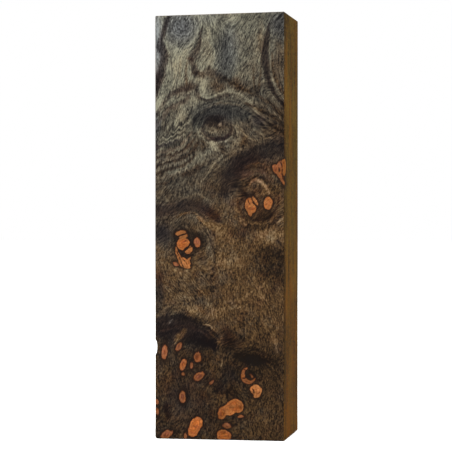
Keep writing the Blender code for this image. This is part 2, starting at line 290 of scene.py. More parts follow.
    Seam(((-20.4, 82.6, 1.0), (-17.0, 83.2, 1.1), (-13.0, 84.5, 0.9), (-10.6, 85.4, 0.5)),
          0.075, 0.0, 0.2, 0.7),
    Seam(((-20.4, 81.1, 0.9), (-17.0, 81.9, 0.9), (-13.0, 83.2, 0.9), (-10.0, 84.5, 0.9),
          (-7.6, 86.4, 0.6)), -0.08, 0.2, 0.2, 0.7),
    Seam(((-20.4, 79.4, 0.9), (-17.0, 80.0, 0.9), (-13.6, 81.2, 0.8), (-10.6, 82.4, 0.6)),
          0.05, 0.0, 0.2, 0.7),
    Seam(((-20.4, 77.8, 0.7), (-17.0, 78.2, 0.6), (-14.6, 79.4, 0.4)), -0.06, 0.2, 0.2, 0.6),
)

# Routes that only guide growth, with no mark of their own: (x, z) points
GUIDES = (
    Guide(((20.5, 91.8), (16.0, 91.6), (11.4, 90.4), (7.2, 88.6), (4.0, 86.6), (1.2, 83.4), (-1.0, 79.6),
           (-2.8, 75.6)), -0.7),
    Guide(((20.5, 86.6), (16.0, 86.6), (12.0, 85.8), (8.4, 84.0), (5.6, 80.6), (4.2, 76.0), (3.8, 71.6)),
           0.7),
    Guide(((-4.0, 97.4), (-1.6, 98.9), (1.4, 98.9), (3.4, 97.4)), -0.7),
    Guide(((19.4, 76.0), (19.4, 71.0), (18.0, 67.6)), -0.6),
    Guide(((-16.6, 62.0), (-16.2, 57.0), (-14.4, 52.8), (-11.0, 50.8), (-7.4, 51.4), (-4.4, 54.0)), 0.7),
    Guide(((6.2, 19.0), (7.2, 15.6), (10.0, 12.4), (13.4, 12.4), (14.6, 16.0)), 0.6),
    Guide(((6.0, 111.6), (8.0, 116.8), (10.4, 123.0), (12.4, 130.4)), 0.7),
    Guide(((-20.4, 91.2), (-17.0, 92.0), (-13.0, 94.2), (-10.0, 97.4), (-8.0, 100.4)), -0.9),
    Guide(((-15.0, 77.8), (-9.0, 79.4), (-5.0, 80.6)), 0.6),
)

PATCHES = (
    # top eye and the pale wood round it
    Patch(-11.8, 125.6, 4.4, 5.4, 0, -0.11, 0.0, 0.1),
    Patch(-11.4, 126.2, 1.6, 1.6, 0, 0.03),
    Patch(-14.2, 127.6, 1.6, 2.6, 0, -0.05, -0.2),
    # the top left corner made lighter and cooler: partly the wood's own colour, partly a painted sheen
    Patch(-19.4, 125.4, 1.4, 4.0, -8, 0.09, -0.2),
    Patch(-19.6, 117.0, 1.0, 2.6, 0, 0.03, 0.0, 0.1),
    Patch(-19.4, 110.6, 1.2, 3.6, 0, -0.07, 0.1, 0.6),
    Patch(-12.2, 115.4, 3.6, 4.8, 0, 0.03, 0.05),
    Patch(-13.0, 110.2, 3.4, 2.2, 0, 0.0, 0.05),
    Patch(-3.6, 122.0, 1.5, 5.0, 0, 0.01, 0.1),
    Patch(-3.6, 115.4, 2.4, 2.6, -30, 0.04, 0.1),
    # the V
    Patch(1.4, 116.4, 2.2, 6.0, 6, -0.105, -0.3),
    Patch(2.6, 112.6, 2.2, 2.2, 0, -0.025, -0.3),
    Patch(0.6, 122.0, 2.8, 4.6, 0, -0.075, -0.1),
    Patch(4.1, 127.6, 1.1, 2.0, 0, 0.07),
    Patch(7.4, 118.0, 2.6, 8.0, -18, -0.01),
    Patch(11.4, 118.0, 2.0, 9.0, -6, 0.03, 0.1),
    Patch(12.8, 123.0, 0.9, 4.4, -8, 0.0, 0.2),
    Patch(18.2, 126.4, 2.8, 4.6, 0, -0.085, -0.2, 0.15),
    Patch(18.4, 115.0, 1.9, 7.0, 0, -0.045, 0.35, 0.1),
    # brown wood and cream patches under the step
    Patch(-0.6, 107.8, 2.6, 2.8, 0, -0.125, 0.35),
    Patch(-5.0, 108.2, 1.0, 2.8, 2, 0.17),
    Patch(-6.8, 110.0, 1.4, 0.7, 0, 0.05, 0.1),
    Patch(-9.4, 107.6, 1.4, 1.8, 0, -0.09, 0.15, 0.1),
    Patch(-11.8, 106.2, 3.4, 1.6, 12, -0.045, 0.1, 0.3),
    Patch(5.6, 108.2, 4.6, 1.7, -28, -0.10, 0.25, 0.1),
    Patch(8.4, 110.6, 1.6, 1.6, 0, 0.04),
    Patch(-18.9, 102.4, 1.2, 2.4, -24, 0.19, -0.1),
    Patch(-12.8, 99.4, 2.2, 2.4, 30, 0.055, 0.05),
    # second eye
    Patch(0.2, 95.7, 3.4, 2.4, 0, -0.01, 0.15, 0.1),
    Patch(0.1, 96.2, 1.3, 1.3, 0, -0.15, 0.1, 0.2),
    Patch(0.1, 96.2, 0.6, 0.6, 0, 0.50, -0.1, 0.1),
    Patch(-2.8, 96.6, 2.0, 1.2, 0, -0.08, 0.3, 0.3),
    Patch(-1.0, 99.6, 6.8, 2.9, 0, -0.165, -0.2, 0.15),
    Patch(-1.6, 98.2, 3.0, 1.0, 0, -0.03, 0.3, 0.5),
    Patch(7.2, 99.8, 3.0, 2.2, -20, -0.06, -0.3, 0.1),
    Patch(-6.6, 97.2, 2.6, 1.9, 40, -0.10, -0.25),
    Patch(1.0, 102.9, 6.4, 1.3, 0, -0.05),
    Patch(-1.8, 94.2, 2.1, 0.95, -8, 0.115, 0.12, -0.3),
    Patch(-1.5, 89.4, 1.3, 2.0, 40, 0.24, -0.1),
    Patch(1.2, 88.8, 0.9, 1.6, 0, -0.085, 0.25),
    Patch(4.6, 90.4, 2.0, 2.2, 0, 0.09),
    Patch(5.9, 93.0, 0.8, 2.6, -8, 0.06),
    Patch(7.8, 91.2, 1.0, 2.4, -24, -0.035, 0.35, 0.25),
    Patch(12.2, 97.6, 2.0, 1.7, -10, -0.055, -0.1, 0.5),
    Patch(15.6, 100.0, 5.0, 3.4, -35, -0.02, 0.1),
    Patch(16.4, 94.6, 4.0, 2.0, -26, -0.04, 0.2, 0.1),
    # zebra wood and what lies below it
    Patch(-15.0, 96.4, 4.0, 3.6, 0, 0.02),
    Patch(-13.0, 86.0, 7.0, 4.0, 20, 0.01),
    Patch(-19.6, 89.8, 1.0, 1.6, 0, -0.05, -0.3, 0.4),
    Patch(-4.9, 89.3, 1.0, 1.3, 0, -0.075, 0.3),
    Patch(-12.0, 75.8, 8.0, 3.0, 4, 0.02),
    Patch(-2.6, 76.6, 2.6, 3.0, 20, -0.03, 0.2, 0.1),
    # third eye
    Patch(11.0, 83.6, 6.6, 3.0, 0, -0.05, 0.05, 0.6),
    Patch(7.0, 80.8, 3.0, 2.6, 30, -0.035, 0.05, 0.45),
    Patch(12.0, 72.0, 6.0, 6.0, 0, -0.01, 0.2, 0.5),
    Patch(12.4, 79.6, 5.0, 1.2, 0, -0.02, 0.1, 0.2),
    Patch(5.6, 76.8, 1.9, 1.6, 0, -0.09, -0.1, 0.3),
    Patch(7.4, 75.2, 1.3, 1.9, 10, -0.07, 0.1, 0.6),
    Patch(8.8, 74.4, 1.3, 0.9, -20, -0.10, -0.1, 0.2),
    Patch(12.0, 76.4, 1.8, 1.3, -20, -0.03, -0.1),
    Patch(13.4, 74.9, 0.5, 0.4, 0, 0.10, 0.2),
    Patch(13.0, 72.6, 1.0, 2.0, 0, -0.04, -0.2),
    Patch(4.4, 71.2, 2.4, 4.4, 0, 0.025, 0.0, 0.3),
    Patch(13.4, 68.2, 4.4, 2.2, 8, -0.07, 0.1, 0.2),
    Patch(18.4, 73.0, 1.3, 3.2, 0, 0.02, 0.0, 0.1),
    Patch(-1.4, 69.0, 2.6, 2.4, -20, -0.01, 0.3, 0.6),
    Patch(7.0, 63.6, 4.4, 2.4, 0, -0.055, 0.0, 0.5),
    # fourth eye
    Patch(-11.6, 60.4, 3.4, 5.4, 0, -0.16, -0.1, 0.2),
    Patch(-7.0, 60.4, 2.4, 3.4, 0, -0.12, 0.1),
    Patch(-4.8, 60.6, 1.4, 1.6, 0, -0.08, 0.1),
    Patch(-17.8, 63.0, 2.8, 3.2, 10, -0.11, -0.35, 0.6),
    Patch(-15.8, 57.2, 2.0, 3.0, 0, -0.005, -0.1),
    Patch(-6.4, 54.8, 2.4, 1.3, 20, -0.07, 0.1),
    Patch(-3.2, 58.4, 1.4, 4.4, 10, 0.02, -0.25),
    # plain middle
    Patch(15.6, 62.2, 4.4, 1.9, 0, 0.13, -0.1),
    Patch(15.4, 56.4, 4.6, 3.4, 0, -0.10, 0.1),
    Patch(19.0, 53.0, 1.3, 6.0, 0, -0.06, 0.1, 0.1),
    Patch(15.0, 51.6, 4.0, 2.0, 0, -0.05, 0.0, 0.1),
    Patch(3.2, 54.2, 3.6, 2.6, 10, 0.085, -0.15),
    Patch(-8.0, 52.2, 3.0, 0.8, 0, -0.02, 0.1),
    Patch(-19.0, 44.8, 1.8, 5.0, 0, -0.075, -0.35, 0.3),
    Patch(14.0, 47.8, 1.6, 1.1, 20, 0.10, -0.1),
    Patch(-11.6, 43.0, 3.0, 1.0, 0, 0.055, -0.1),
    Patch(-5.6, 42.6, 1.6, 1.2, 0, -0.03, -0.2),
    Patch(-3.6, 41.0, 0.9, 1.3, 0, 0.10),
    Patch(-8.4, 39.4, 2.8, 1.2, -8, 0.13, 0.2, 0.1),
    Patch(-1.4, 38.4, 2.6, 1.6, 0, 0.10),
    # lower left dome and seeds
    Patch(-6.0, 28.9, 5.4, 2.0, -4, -0.075, -0.25),
    Patch(-16.0, 29.6, 3.2, 2.0, 0, -0.035, -0.2, 0.3),
    Patch(-11.0, 14.0, 10.0, 14.0, 0, -0.01, -0.25, 0.5),
    Patch(-19.2, 49.6, 1.8, 2.8, 0, -0.01, 0.2, 0.8),
    Patch(16.0, 50.6, 4.6, 2.2, 0, -0.04, 0.0, 0.1),
    Patch(3.4, 31.8, 3.2, 2.8, -30, -0.07, 0.0, 0.6),
    Patch(3.4, 28.0, 3.0, 2.2, 0, -0.05, 0.0, 0.2),
    Patch(13.0, 30.0, 4.0, 2.0, 0, -0.03),
    # last eye
    Patch(10.0, 24.7, 4.8, 2.3, -6, -0.06, -0.1),
    Patch(9.9, 20.0, 1.5, 1.5, 0, -0.13, -0.2),
    Patch(12.4, 20.0, 1.2, 2.2, 0, -0.04, -0.3),
    Patch(3.2, 20.0, 2.4, 3.2, 20, -0.06, -0.3, 0.2),
    Patch(0.4, 17.0, 2.4, 1.8, 0, -0.06, -0.2, 0.3),
    Patch(3.4, 14.4, 4.4, 1.4, -10, -0.08, -0.1, 0.2),
    Patch(3.8, 6.4, 2.2, 0.7, 0, 0.03, -0.4, 0.3),
    Patch(0.6, 24.6, 1.6, 2.4, 0, 0.03, -0.1),
    Patch(-11.4, 12.8, 2.3, 3.0, 0, -0.10, -0.2),
    Patch(-16.2, 8.6, 0.9, 2.2, 10, -0.08, 0.0, 0.8),
    Patch(-18.4, 18.0, 1.6, 4.0, 0, 0.02),
    Patch(-15.6, 20.0, 1.6, 3.0, 0, 0.02, 0.2),
    Patch(-13.0, 8.0, 2.6, 2.4, 20, 0.04, -0.2),
    Patch(-2.6, 8.6, 1.0, 4.0, 0, -0.04, 0.1, 0.3),
    Patch(19.4, 96.0, 0.9, 9.0, 0, -0.05, 0.2, 0.1),
)

# Blue-grey wood, and the bluish bloom of the top left corner, which is partly a painted sheen
SLATES = (
    Area(-20.2, 122.0, 3.0, 13.0, 0, 1.0),
    Area(-12.2, 126.2, 5.4, 5.6, 0, 0.9),
    Area(-4.0, 129.0, 5.0, 2.6, 0, 0.3),
    Area(2.6, 118.0, 3.2, 8.0, -6, 0.6),
    Area(18.6, 126.6, 3.4, 4.0, 0, 0.6),
    Area(0.0, 99.4, 7.0, 2.8, 0, 0.35),
    Area(-19.8, 96.0, 1.6, 4.0, 0, 0.8),
    Area(-19.8, 44.6, 2.4, 4.6, 0, 0.15),
    Area(-18.4, 62.8, 3.4, 3.6, 0, 0.35),
    Area(12.6, 97.2, 2.6, 1.8, 0, 0.3),
    Area(-10.6, 10.6, 2.6, 1.8, 0, 0.3),
)

# Where growth rings show more than fibres do: the eyes, and the long seams
RINGED = (
    Area(-12.0, 125.0, 6.0, 8.0, 0, 0.55),
    Area(2.0, 119.0, 3.4, 11.0, 0, 0.4),
    Area(16.6, 112.0, 4.0, 14.0, 8, 0.9),
    Area(0.0, 98.0, 10.0, 8.0, 0, 1.0),
    Area(15.0, 99.0, 8.0, 7.0, -30, 1.0),
    Area(0.0, 84.0, 4.6, 4.6, 0, 0.6),
    Area(12.0, 76.0, 9.0, 11.0, 0, 0.5),
    Area(-8.0, 63.0, 11.0, 10.0, 0, 0.8),
    Area(-8.0, 33.0, 12.0, 5.0, 0, 0.8),
    Area(10.0, 21.0, 8.0, 9.0, 0, 0.8),
    Area(-9.0, 16.0, 10.0, 10.0, 0, 0.45),
)

# Routes along which the fibres run, all drawn downwards
FIBRES = (
    ((-19.6, 130.0), (-19.8, 122.0), (-19.6, 112.0), (-20.2, 104.0)),
    ((-6.4, 126.0), (-7.6, 121.6), (-10.8, 118.4), (-13.2, 115.0), (-14.0, 110.0), (-16.0, 104.0)),
    ((-9.2, 116.0), (-10.0, 112.0), (-10.6, 107.0)),
    ((-2.6, 122.0), (-4.2, 118.0), (-6.8, 114.4)),
    ((-0.8, 119.0), (-2.6, 116.4), (-5.0, 113.4)),
    ((-1.6, 112.0), (-3.4, 109.0), (-4.4, 105.0)),
    ((-3.4, 130.0), (-2.0, 125.0), (-1.4, 122.0)),
    ((1.0, 124.0), (1.4, 118.0), (2.2, 112.0)),
    ((16.0, 130.0), (13.0, 126.4), (9.6, 121.6), (6.4, 117.0), (3.8, 113.0)),
    ((11.6, 130.0), (8.8, 126.2), (6.2, 122.0), (4.0, 117.6)),
    ((13.2, 123.6), (11.6, 119.6), (8.8, 115.4), (6.0, 111.6)),
    ((12.8, 117.6), (11.8, 113.4), (9.8, 110.4)),
    ((20.2, 130.4), (17.4, 126.8), (15.2, 123.0), (14.8, 118.0)),
    ((17.4, 122.0), (17.6, 114.0), (18.6, 107.0)),
    ((-1.0, 111.0), (-0.8, 105.4)),
    ((10.0, 110.0), (8.6, 107.0), (5.6, 104.0)),
    ((-17.4, 109.6), (-18.4, 106.0), (-20.0, 102.0)),
    ((-11.0, 106.0), (-12.4, 100.0), (-14.4, 94.0), (-15.4, 88.0), (-16.4, 82.0)),
    ((-17.0, 103.0), (-17.8, 96.0), (-18.4, 89.0), (-18.8, 82.0)),
    ((-5.0, 101.0), (-7.2, 97.0), (-9.2, 91.0), (-10.8, 86.0), (-12.0, 80.0)),
    ((-3.0, 90.6), (-1.6, 88.4), (0.2, 86.0)),
    ((-3.0, 88.0), (-4.6, 84.0), (-6.4, 79.0)),
    ((5.6, 95.0), (5.6, 90.0), (4.8, 86.0)),
    ((7.2, 97.0), (8.6, 93.6), (11.0, 91.0)),
    ((12.0, 104.0), (15.0, 100.0), (19.0, 96.0)),
    ((-10.0, 79.0), (-10.6, 72.0)),
    ((2.0, 76.0), (2.6, 70.0), (1.6, 64.0)),
    ((-4.6, 66.0), (-2.6, 61.4), (-1.0, 56.0)),
    ((7.0, 64.0), (6.8, 58.0), (5.4, 52.0), (4.6, 46.0)),
    ((12.0, 64.0), (12.6, 58.0), (11.0, 52.6), (12.6, 46.8), (14.6, 42.0), (17.4, 36.4)),
    ((17.4, 64.0), (17.8, 56.0), (18.0, 48.0), (20.0, 40.0)),
    ((1.6, 58.0), (0.6, 53.6), (0.2, 48.0)),
    ((-17.6, 54.0), (-15.4, 49.0), (-12.6, 45.4), (-9.4, 42.4)),
    ((-13.8, 53.0), (-11.0, 49.6), (-7.6, 46.0), (-4.6, 43.2)),
    ((-7.4, 51.6), (-5.0, 48.4), (-2.0, 45.0)),
    ((-0.4, 44.0), (-0.6, 40.0), (0.2, 36.0)),
    ((6.4, 45.6), (4.8, 41.6), (4.4, 37.0), (5.6, 32.0)),
    ((9.4, 38.0), (10.6, 34.0), (12.4, 30.0)),
    ((15.0, 36.0), (16.6, 31.0), (18.0, 26.0)),
    ((0.8, 27.0), (1.4, 22.0), (-0.4, 17.0)),
    ((15.8, 24.0), (15.0, 14.0), (14.4, 6.0), (13.8, -1.0)),
    ((19.0, 22.0), (18.6, 12.0), (18.4, -1.0)),
    ((9.4, 9.0), (9.0, 4.0), (9.4, -1.0)),
    ((-13.0, 24.0), (-14.0, 18.0), (-14.6, 10.0)),
    ((-4.2, 14.0), (-3.8, 8.0), (-4.0, 0.0)),
)

# The orange eyes of the show face
PIPS = (
    # grains in the third eye
    Pip(9.5, 71.6, 1.6, 2.2, -8, 0.8, 1.0),
    Pip(10.3, 70.5, 1.0, 1.4, 0, 0.7, 1.0),
    Pip(9.4, 69.6, 0.75, 1.4, 0, 0.9, 1.0),
    Pip(11.0, 72.7, 0.65, 1.6, 26, 0.9, 1.0),
    Pip(15.0, 72.1, 1.35, 1.95, -8, 0.75, 1.12),
    # grains in the fourth eye
    Pip(-11.9, 63.1, 1.8, 0.75, 12, 1.0, 0.95),
    Pip(-11.1, 62.1, 1.5, 0.7, 14, 1.0, 0.95),
    Pip(-11.1, 59.7, 2.1, 2.0, 30, 0.55, 1.08),
    Pip(-9.6, 57.9, 1.25, 1.4, -20, 0.95, 1.0),
    Pip(-7.0, 60.1, 0.95, 1.6, 6, 0.2, 1.0),
    Pip(-13.6, 53.7, 1.0, 0.65, -30, 0.0, 0.95),
    # wedge at the right edge
    Pip(17.4, 82.5, 1.0, 1.4, 20, 0.3, 0.84),
    Pip(18.7, 83.4, 1.1, 1.7, -30, 0.1, 0.74),
    Pip(20.4, 83.2, 1.7, 2.6, -6, 0.55, 0.78),
    Pip(18.7, 81.0, 0.9, 1.7, 30, 0.3, 0.78),
    Pip(19.4, 78.9, 0.55, 1.6, 18, 0.1, 0.76),
    # seeds of the lower left field
    Pip(-17.2, 26.7, 0.9, 2.3, -6, 0.05, 1.03),
    Pip(-12.6, 28.3, 0.85, 1.45, -28, 0.1, 0.82),
    Pip(-6.7, 25.2, 1.25, 1.6, 0, 0.3, 0.82),
    Pip(-11.3, 22.8, 1.0, 1.95, -10, 0.35, 0.98),
    Pip(-8.7, 22.6, 0.55, 1.1, 0, 0.0, 0.8),
    Pip(-6.3, 19.4, 1.9, 1.15, 38, 0.15, 0.83),
    Pip(-11.2, 19.8, 0.55, 0.6, 0, 0.0, 0.65),
    Pip(-2.6, 17.4, 0.9, 0.4, 45, 0.0, 0.75),
    Pip(-11.5, 12.9, 1.05, 1.9, 0, 0.2, 0.82),
    Pip(-19.6, 11.3, 0.8, 1.0, 0, 0.0, 0.88),
    Pip(-19.3, 8.2, 0.6, 1.1, 0, 0.0, 0.8),
    Pip(-7.4, 4.0, 1.95, 3.3, -28, 0.5, 1.2),
    Pip(-16.4, 1.5, 2.0, 1.15, 32, 0.1, 0.93),
    Pip(-10.4, 0.8, 0.6, 1.2, 0, 0.1, 0.85),
    # the bean and what lies under it
    Pip(4.9, 10.4, 2.6, 2.15, -8, 0.7, 0.98),
    Pip(2.9, 9.2, 2.0, 1.9, 30, 0.75, 1.1),
    Pip(1.1, 8.2, 1.5, 2.2, -12, 0.55, 0.9),
    Pip(6.7, 7.2, 0.9, 0.55, 10, 0.1, 0.8),
    Pip(2.4, 4.4, 1.45, 0.7, 0, 0.0, 0.76),
    Pip(1.5, 1.4, 2.2, 1.85, 0, 0.5, 0.95),
    # disc beside the crescent
    Pip(11.2, 15.1, 1.85, 2.0, 0, 1.0, 1.12),
)
GROWING_PIPS = 14

# Orange streaks: the crescent of the last eye, the one under the fourth eye, small ones
STREAKS = (
    Streak(((8.5, 22.1, 0.4), (7.6, 21.3, 0.9), (7.25, 19.9, 1.2), (7.8, 18.5, 1.4),
            (9.2, 17.7, 1.2), (10.5, 18.2, 0.7), (11.0, 19.0, 0.4)), 0.3, 0.72),
    Streak(((-13.4, 58.6, 0.4), (-13.1, 56.8, 0.9), (-12.3, 55.4, 1.6), (-11.2, 54.1, 2.5),
            (-10.2, 53.2, 2.1), (-9.3, 52.6, 0.6)), 1.0, 1.15),
    Streak(((-8.9, 55.6, 0.2), (-9.6, 54.6, 0.7), (-9.2, 53.6, 0.5)), 0.9, 1.0),
    Streak(((9.5, 20.2, 0.5), (10.1, 19.3, 0.8)), 0.0, 0.5),
    Streak(((-6.6, 26.9, 0.2), (-6.4, 26.6, 0.5)), 0.1, 0.8),
)

# Dark cracks that split the orange grains: routes of (x, z, width)
CRACKS = (
    ((-13.0, 61.9, 0.25), (-11.6, 62.5, 0.45), (-9.8, 63.0, 0.3)),
    ((-8.7, 60.2, 0.4), (-9.8, 58.6, 0.6), (-11.2, 57.2, 0.7)),
    ((-9.2, 58.4, 0.2), (-8.2, 59.0, 0.3)),
    ((-13.2, 57.4, 0.1), (-12.2, 54.6, 0.3), (-11.3, 53.0, 0.3), (-10.8, 52.2, 0.1)),
    ((-12.2, 56.0, 0.1), (-11.0, 54.6, 0.25), (-9.9, 53.4, 0.1)),
    ((9.9, 74.0, 0.35), (10.4, 72.6, 0.4), (11.0, 71.6, 0.4), (11.8, 70.6, 0.45)),
    ((8.9, 73.4, 0.15), (9.1, 72.4, 0.25), (9.6, 71.6, 0.1)),
    ((9.2, 15.6, 0.5), (9.7, 14.4, 0.5), (10.4, 13.6, 0.5)),
    ((10.1, 15.9, 0.2), (10.5, 15.3, 0.35), (10.7, 14.5, 0.2)),
    ((7.6, 21.6, 0.1), (8.2, 20.9, 0.35), (8.9, 20.5, 0.2)),
    ((6.9, 19.3, 0.1), (7.6, 19.0, 0.3), (8.3, 19.3, 0.15)),
    ((-8.0, 20.6, 0.2), (-6.8, 20.9, 0.35), (-5.4, 20.6, 0.2)),
    ((18.3, 83.0, 0.15), (18.5, 82.3, 0.45), (18.6, 81.5, 0.15)),
    ((18.8, 84.4, 0.15), (19.1, 83.8, 0.4), (19.3, 83.0, 0.15)),
    ((19.5, 82.4, 0.15), (19.4, 81.2, 0.3), (19.7, 80.0, 0.15)),
    ((5.0, 8.4, 0.3), (5.8, 7.6, 0.4)),
)


def paint(red, green, blue):
    """Scene-linear colour, with alpha, of a colour given on the 0 to 255 scale."""
    def linear(value):
        value /= 255
        return value / 12.92 if value <= 0.04045 else ((value + 0.055) / 1.055) ** 2.4
    return (linear(red), linear(green), linear(blue), 1.0)


def colour_property(name, description, default):
    """A colour that a user may change."""
    return FloatVectorProperty(
        name=name, description=description, default=default, size=4, min=0, max=1, subtype="COLOR"
    )


def length_property(name, description, default):
    """A length that a user may change."""
    return FloatProperty(
        name=name, description=description, default=default, unit="LENGTH", precision=5
    )


def angle_property(name, description, degrees):
    """An angle that a user may change."""
    return FloatProperty(
        name=name, description=description, default=math.radians(degrees), unit="ROTATION"
    )


def number_property(name, description, default):
    """A number, not below zero, that a user may change."""
    return FloatProperty(name=name, description=description, default=default, min=0)


class BurlBlockSizes(bpy.types.PropertyGroup):
    """How finely the block is cut, and how deep its relief is."""

    show_step: length_property("Show face step", "Grid step of the sanded show face", 0.30 * MM)
    side_step: length_property("Side step", "Grid step across the other faces", 0.66 * MM)
    side_rows: IntProperty(
        name="Side rows", description="Rows of the show face to each row of the others",
        default=3, min=1,
    )
    seam_depth: length_property("Seam depth", "How far dark wood sank as it cured", 0.05 * MM)
    saw_depth: length_property("Saw depth", "Height of the ripple on the sawn faces", 0.03 * MM)


class BurlBlockColours(bpy.types.PropertyGroup):
    """Colours of the wood."""

    cool_dark: colour_property("Cool dark", "Blue-black wood", paint(24, 23, 24))
    cool_middle: colour_property("Cool middle", "Grey wood", paint(79, 76, 67))
    cool_light: colour_property("Cool light", "Pale olive wood", paint(160, 156, 132))
    slate_dark: colour_property("Slate dark", "Blue-black wood of the eyes", paint(25, 25, 26))
    slate_middle: colour_property("Slate middle", "Blue-grey wood", paint(74, 75, 75))
    # the slate's light colour also carries the painted sheen of the top left corner
    slate_light: colour_property("Slate light", "Pale wood with a bluish bloom", paint(148, 152, 151))
    warm_dark: colour_property("Warm dark", "Brown-black wood", paint(30, 22, 16))
    warm_middle: colour_property("Warm middle", "Brown wood", paint(97, 72, 45))
    warm_light: colour_property("Warm light", "Tan wood", paint(180, 150, 108))
    plum: colour_property("Plum", "Tint of the bark seams", paint(232, 210, 222))
    eye_rose: colour_property("Rose eye", "The dusty orange eyes", paint(150, 92, 68))
    eye_orange: colour_property("Orange eye", "The clear orange eyes", paint(162, 88, 38))
    eye_yellow: colour_property("Yellow eye", "The pale orange eyes", paint(164, 106, 60))
    eye_rim: colour_property("Eye rim", "The edge of an orange eye", paint(92, 48, 26))
    eye_gold: colour_property("Eye gold", "An orange eye that the saw laid open", paint(140, 88, 26))
    eye_red: colour_property("Eye red", "The darker flame in an orange eye", paint(120, 62, 40))
    halo: colour_property("Halo", "Dark wood round an orange eye", paint(38, 27, 21))
    sawn_dark: colour_property("Sawn dark", "Dark streaks of the sawn faces", paint(50, 35, 12))
    sawn_light: colour_property("Sawn light", "Light streaks of the sawn faces", paint(108, 82, 28))
    sawn_red: colour_property("Sawn red", "Reddish streaks of the sawn faces", paint(118, 70, 12))


class BurlStage(bpy.types.PropertyGroup):
    """Camera, light and floor."""

    azimuth: angle_property("Azimuth", "Camera's turn to the right of the show face", 9.97)
    elevation: angle_property("Elevation", "Camera's height angle", 0.39)
    distance: length_property("Distance", "Camera to target", 0.5902)
    target: FloatVectorProperty(
        name="Target", description="What the camera looks at", default=(-0.0006, 0, 0.0651),
        subtype="TRANSLATION", unit="LENGTH", precision=4,
    )
    lens: FloatProperty(name="Lens", description="Focal length in millimetres", default=150.5, min=1)
    floor_size: length_property("Floor size", "Side of the square floor", 8.0)
    floor_colour: colour_property("Floor colour", "The plain pale floor", (0.92, 0.92, 0.915, 1))
    floor_bounce: colour_property(
        "Floor bounce", "What the floor throws back at the block", (0.25, 0.25, 0.25, 1)
    )
    floor_glow: number_property("Floor glow", "Light added to the floor for the camera only", 0.30)
    backdrop: number_property("Backdrop", "Brightness behind the floor", 1.0)
    fill: number_property("Fill", "Even light from all around", 0.10)
    overhead: number_property("Overhead", "Strength of the overhead light", 2.35)
    overhead_spread: angle_property("Overhead spread", "How wide the overhead light is", 100)
    box_power: number_property("Softbox power", "Power of the key softbox in watts", 12.3)


# Softboxes round the block: their places, their widths, and their power beside the key's
SOFTBOXES = (
    ("key", (-0.60, -0.80, 0.90), 0.7, 1.0),
    ("side_fill", (0.95, -0.35, 0.75), 0.8, 0.7),
    ("back_left", (-0.80, 0.80, 0.80), 0.8, 0.7),
    ("back_right", (1.05, 0.70, 1.00), 0.8, 0.6),
)
BLOCK_MIDDLE = Vector((0, 0, 0.065))


def new_object(name, mesh):
    """An object linked to the scene."""
    obj = bpy.data.objects.new(name, mesh)
    bpy.context.scene.collection.objects.link(obj)
    return obj


# Cutting the grid


def slice_faces(bm, faces, axis, places):
    """Cuts faces across an axis at each place, halving the work at each cut."""
    if not places or not faces:
        return faces
    middle = len(places) // 2
    edges = {edge for face in faces for edge in face.edges}
    verts = {vert for face in faces for vert in face.verts}
    cut = bmesh.ops.bisect_plane(
        bm, geom=[*faces, *edges, *verts], dist=SNAP_DISTANCE,
        plane_co=axis * places[middle], plane_no=axis,
    )
    made = [part for part in cut["geom"] if isinstance(part, bmesh.types.BMFace)]
    below, above = [], []
    for face in made:
        side = below if face.calc_center_median().dot(axis) < places[middle] else above
        side.append(face)
    return (
        slice_faces(bm, below, axis, places[:middle])
        + slice_faces(bm, above, axis, places[middle + 1:])
    )


def cut_places(low, high, step):
    """Places from low to high, clear of the eased edges at either end."""
    count = round((high - low) / step)
    places = [low + (high - low) * i / count for i in range(1, count)]
    return [p for p in places if low + EDGE_MARGIN < p < high - EDGE_MARGIN]


def gridded_block(sizes):
    """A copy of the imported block, its show face cut finely and the others less so."""
    bm = bmesh.new()
    bm.from_mesh(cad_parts["burl_block"].data)
    bmesh.ops.remove_doubles(bm, verts=bm.verts, dist=MERGE_DISTANCE)
    bmesh.ops.dissolve_limit(bm, angle_limit=FLAT_ANGLE, verts=bm.verts, edges=bm.edges)
    across, depth, up = Vector((1, 0, 0)), Vector((0, 1, 0)), Vector((0, 0, 1))
    show = [f for f in bm.faces if f.calc_center_median().y < LOW.y + SHOW_FACE_BAND]
    shown = set(show)
    other = [f for f in bm.faces if f not in shown]
    rows = cut_places(LOW.z, HIGH.z, sizes.show_step)
    show = slice_faces(bm, show, up, rows)
    slice_faces(bm, show, across, cut_places(LOW.x, HIGH.x, sizes.show_step))
    other = slice_faces(bm, other, up, rows[::sizes.side_rows])
    other = slice_faces(bm, other, across, cut_places(LOW.x, HIGH.x, sizes.side_step))
    slice_faces(bm, other, depth, cut_places(LOW.y, HIGH.y, sizes.side_step))
    return bm


# Fields of the figure, in millimetres

# Noise: the side of its cells, how far it reaches either way, and its seed
Noise = namedtuple("Noise", "cell reach seed")
LATTICE_SIDE = 32
DRAW_STEP = 10
TINY = 1e-6

# How many points are set on each span of a route, to draw it or to guide a field by it
ROUTE_PIECES = 5
HINT_PIECES = 4
HINT_SKIP = 2

# A seam's soft half width beside its width, how sharp its edge is, and how many widths out it is
# worked out; and how sharp a patch's edge is
SEAM_HALF = 0.55
SEAM_EDGE = 4
SEAM_REACH = 2
PATCH_EDGE = 1.4

# How deep an orange eye goes beside its smaller half size, how much more than that, how fast a
# streak narrows with depth, and the depth inside an eye that stands for far outside it
PIP_DEPTH = 1.6
PIP_DEPTH_MORE = 1.0
STREAK_TAPER = 0.4
NO_PIP = -9.0

# How far a hint reaches, and how loosely a field keeps to its hints
HINT_REACH = 4.2
HINT_SLACK = 0.02
# Hints round each growing eye, how far out they lie, and how fast growth climbs inwards there
PIP_HINTS = 8
PIP_HINT_RING = 1.3
PIP_RISE = 0.7
# The slope of the fibre field where no route guides it: fibres lean right as they climb
FIBRE_SLOPE = (0.92, -0.39)
GROWTH_SLOPE = (0.0, 0.0)

# Where the surface turns away from the show face, and how deep the show face's figure goes
FACING = (0.55, 0.95)
SHOW_DEPTH = 1.0
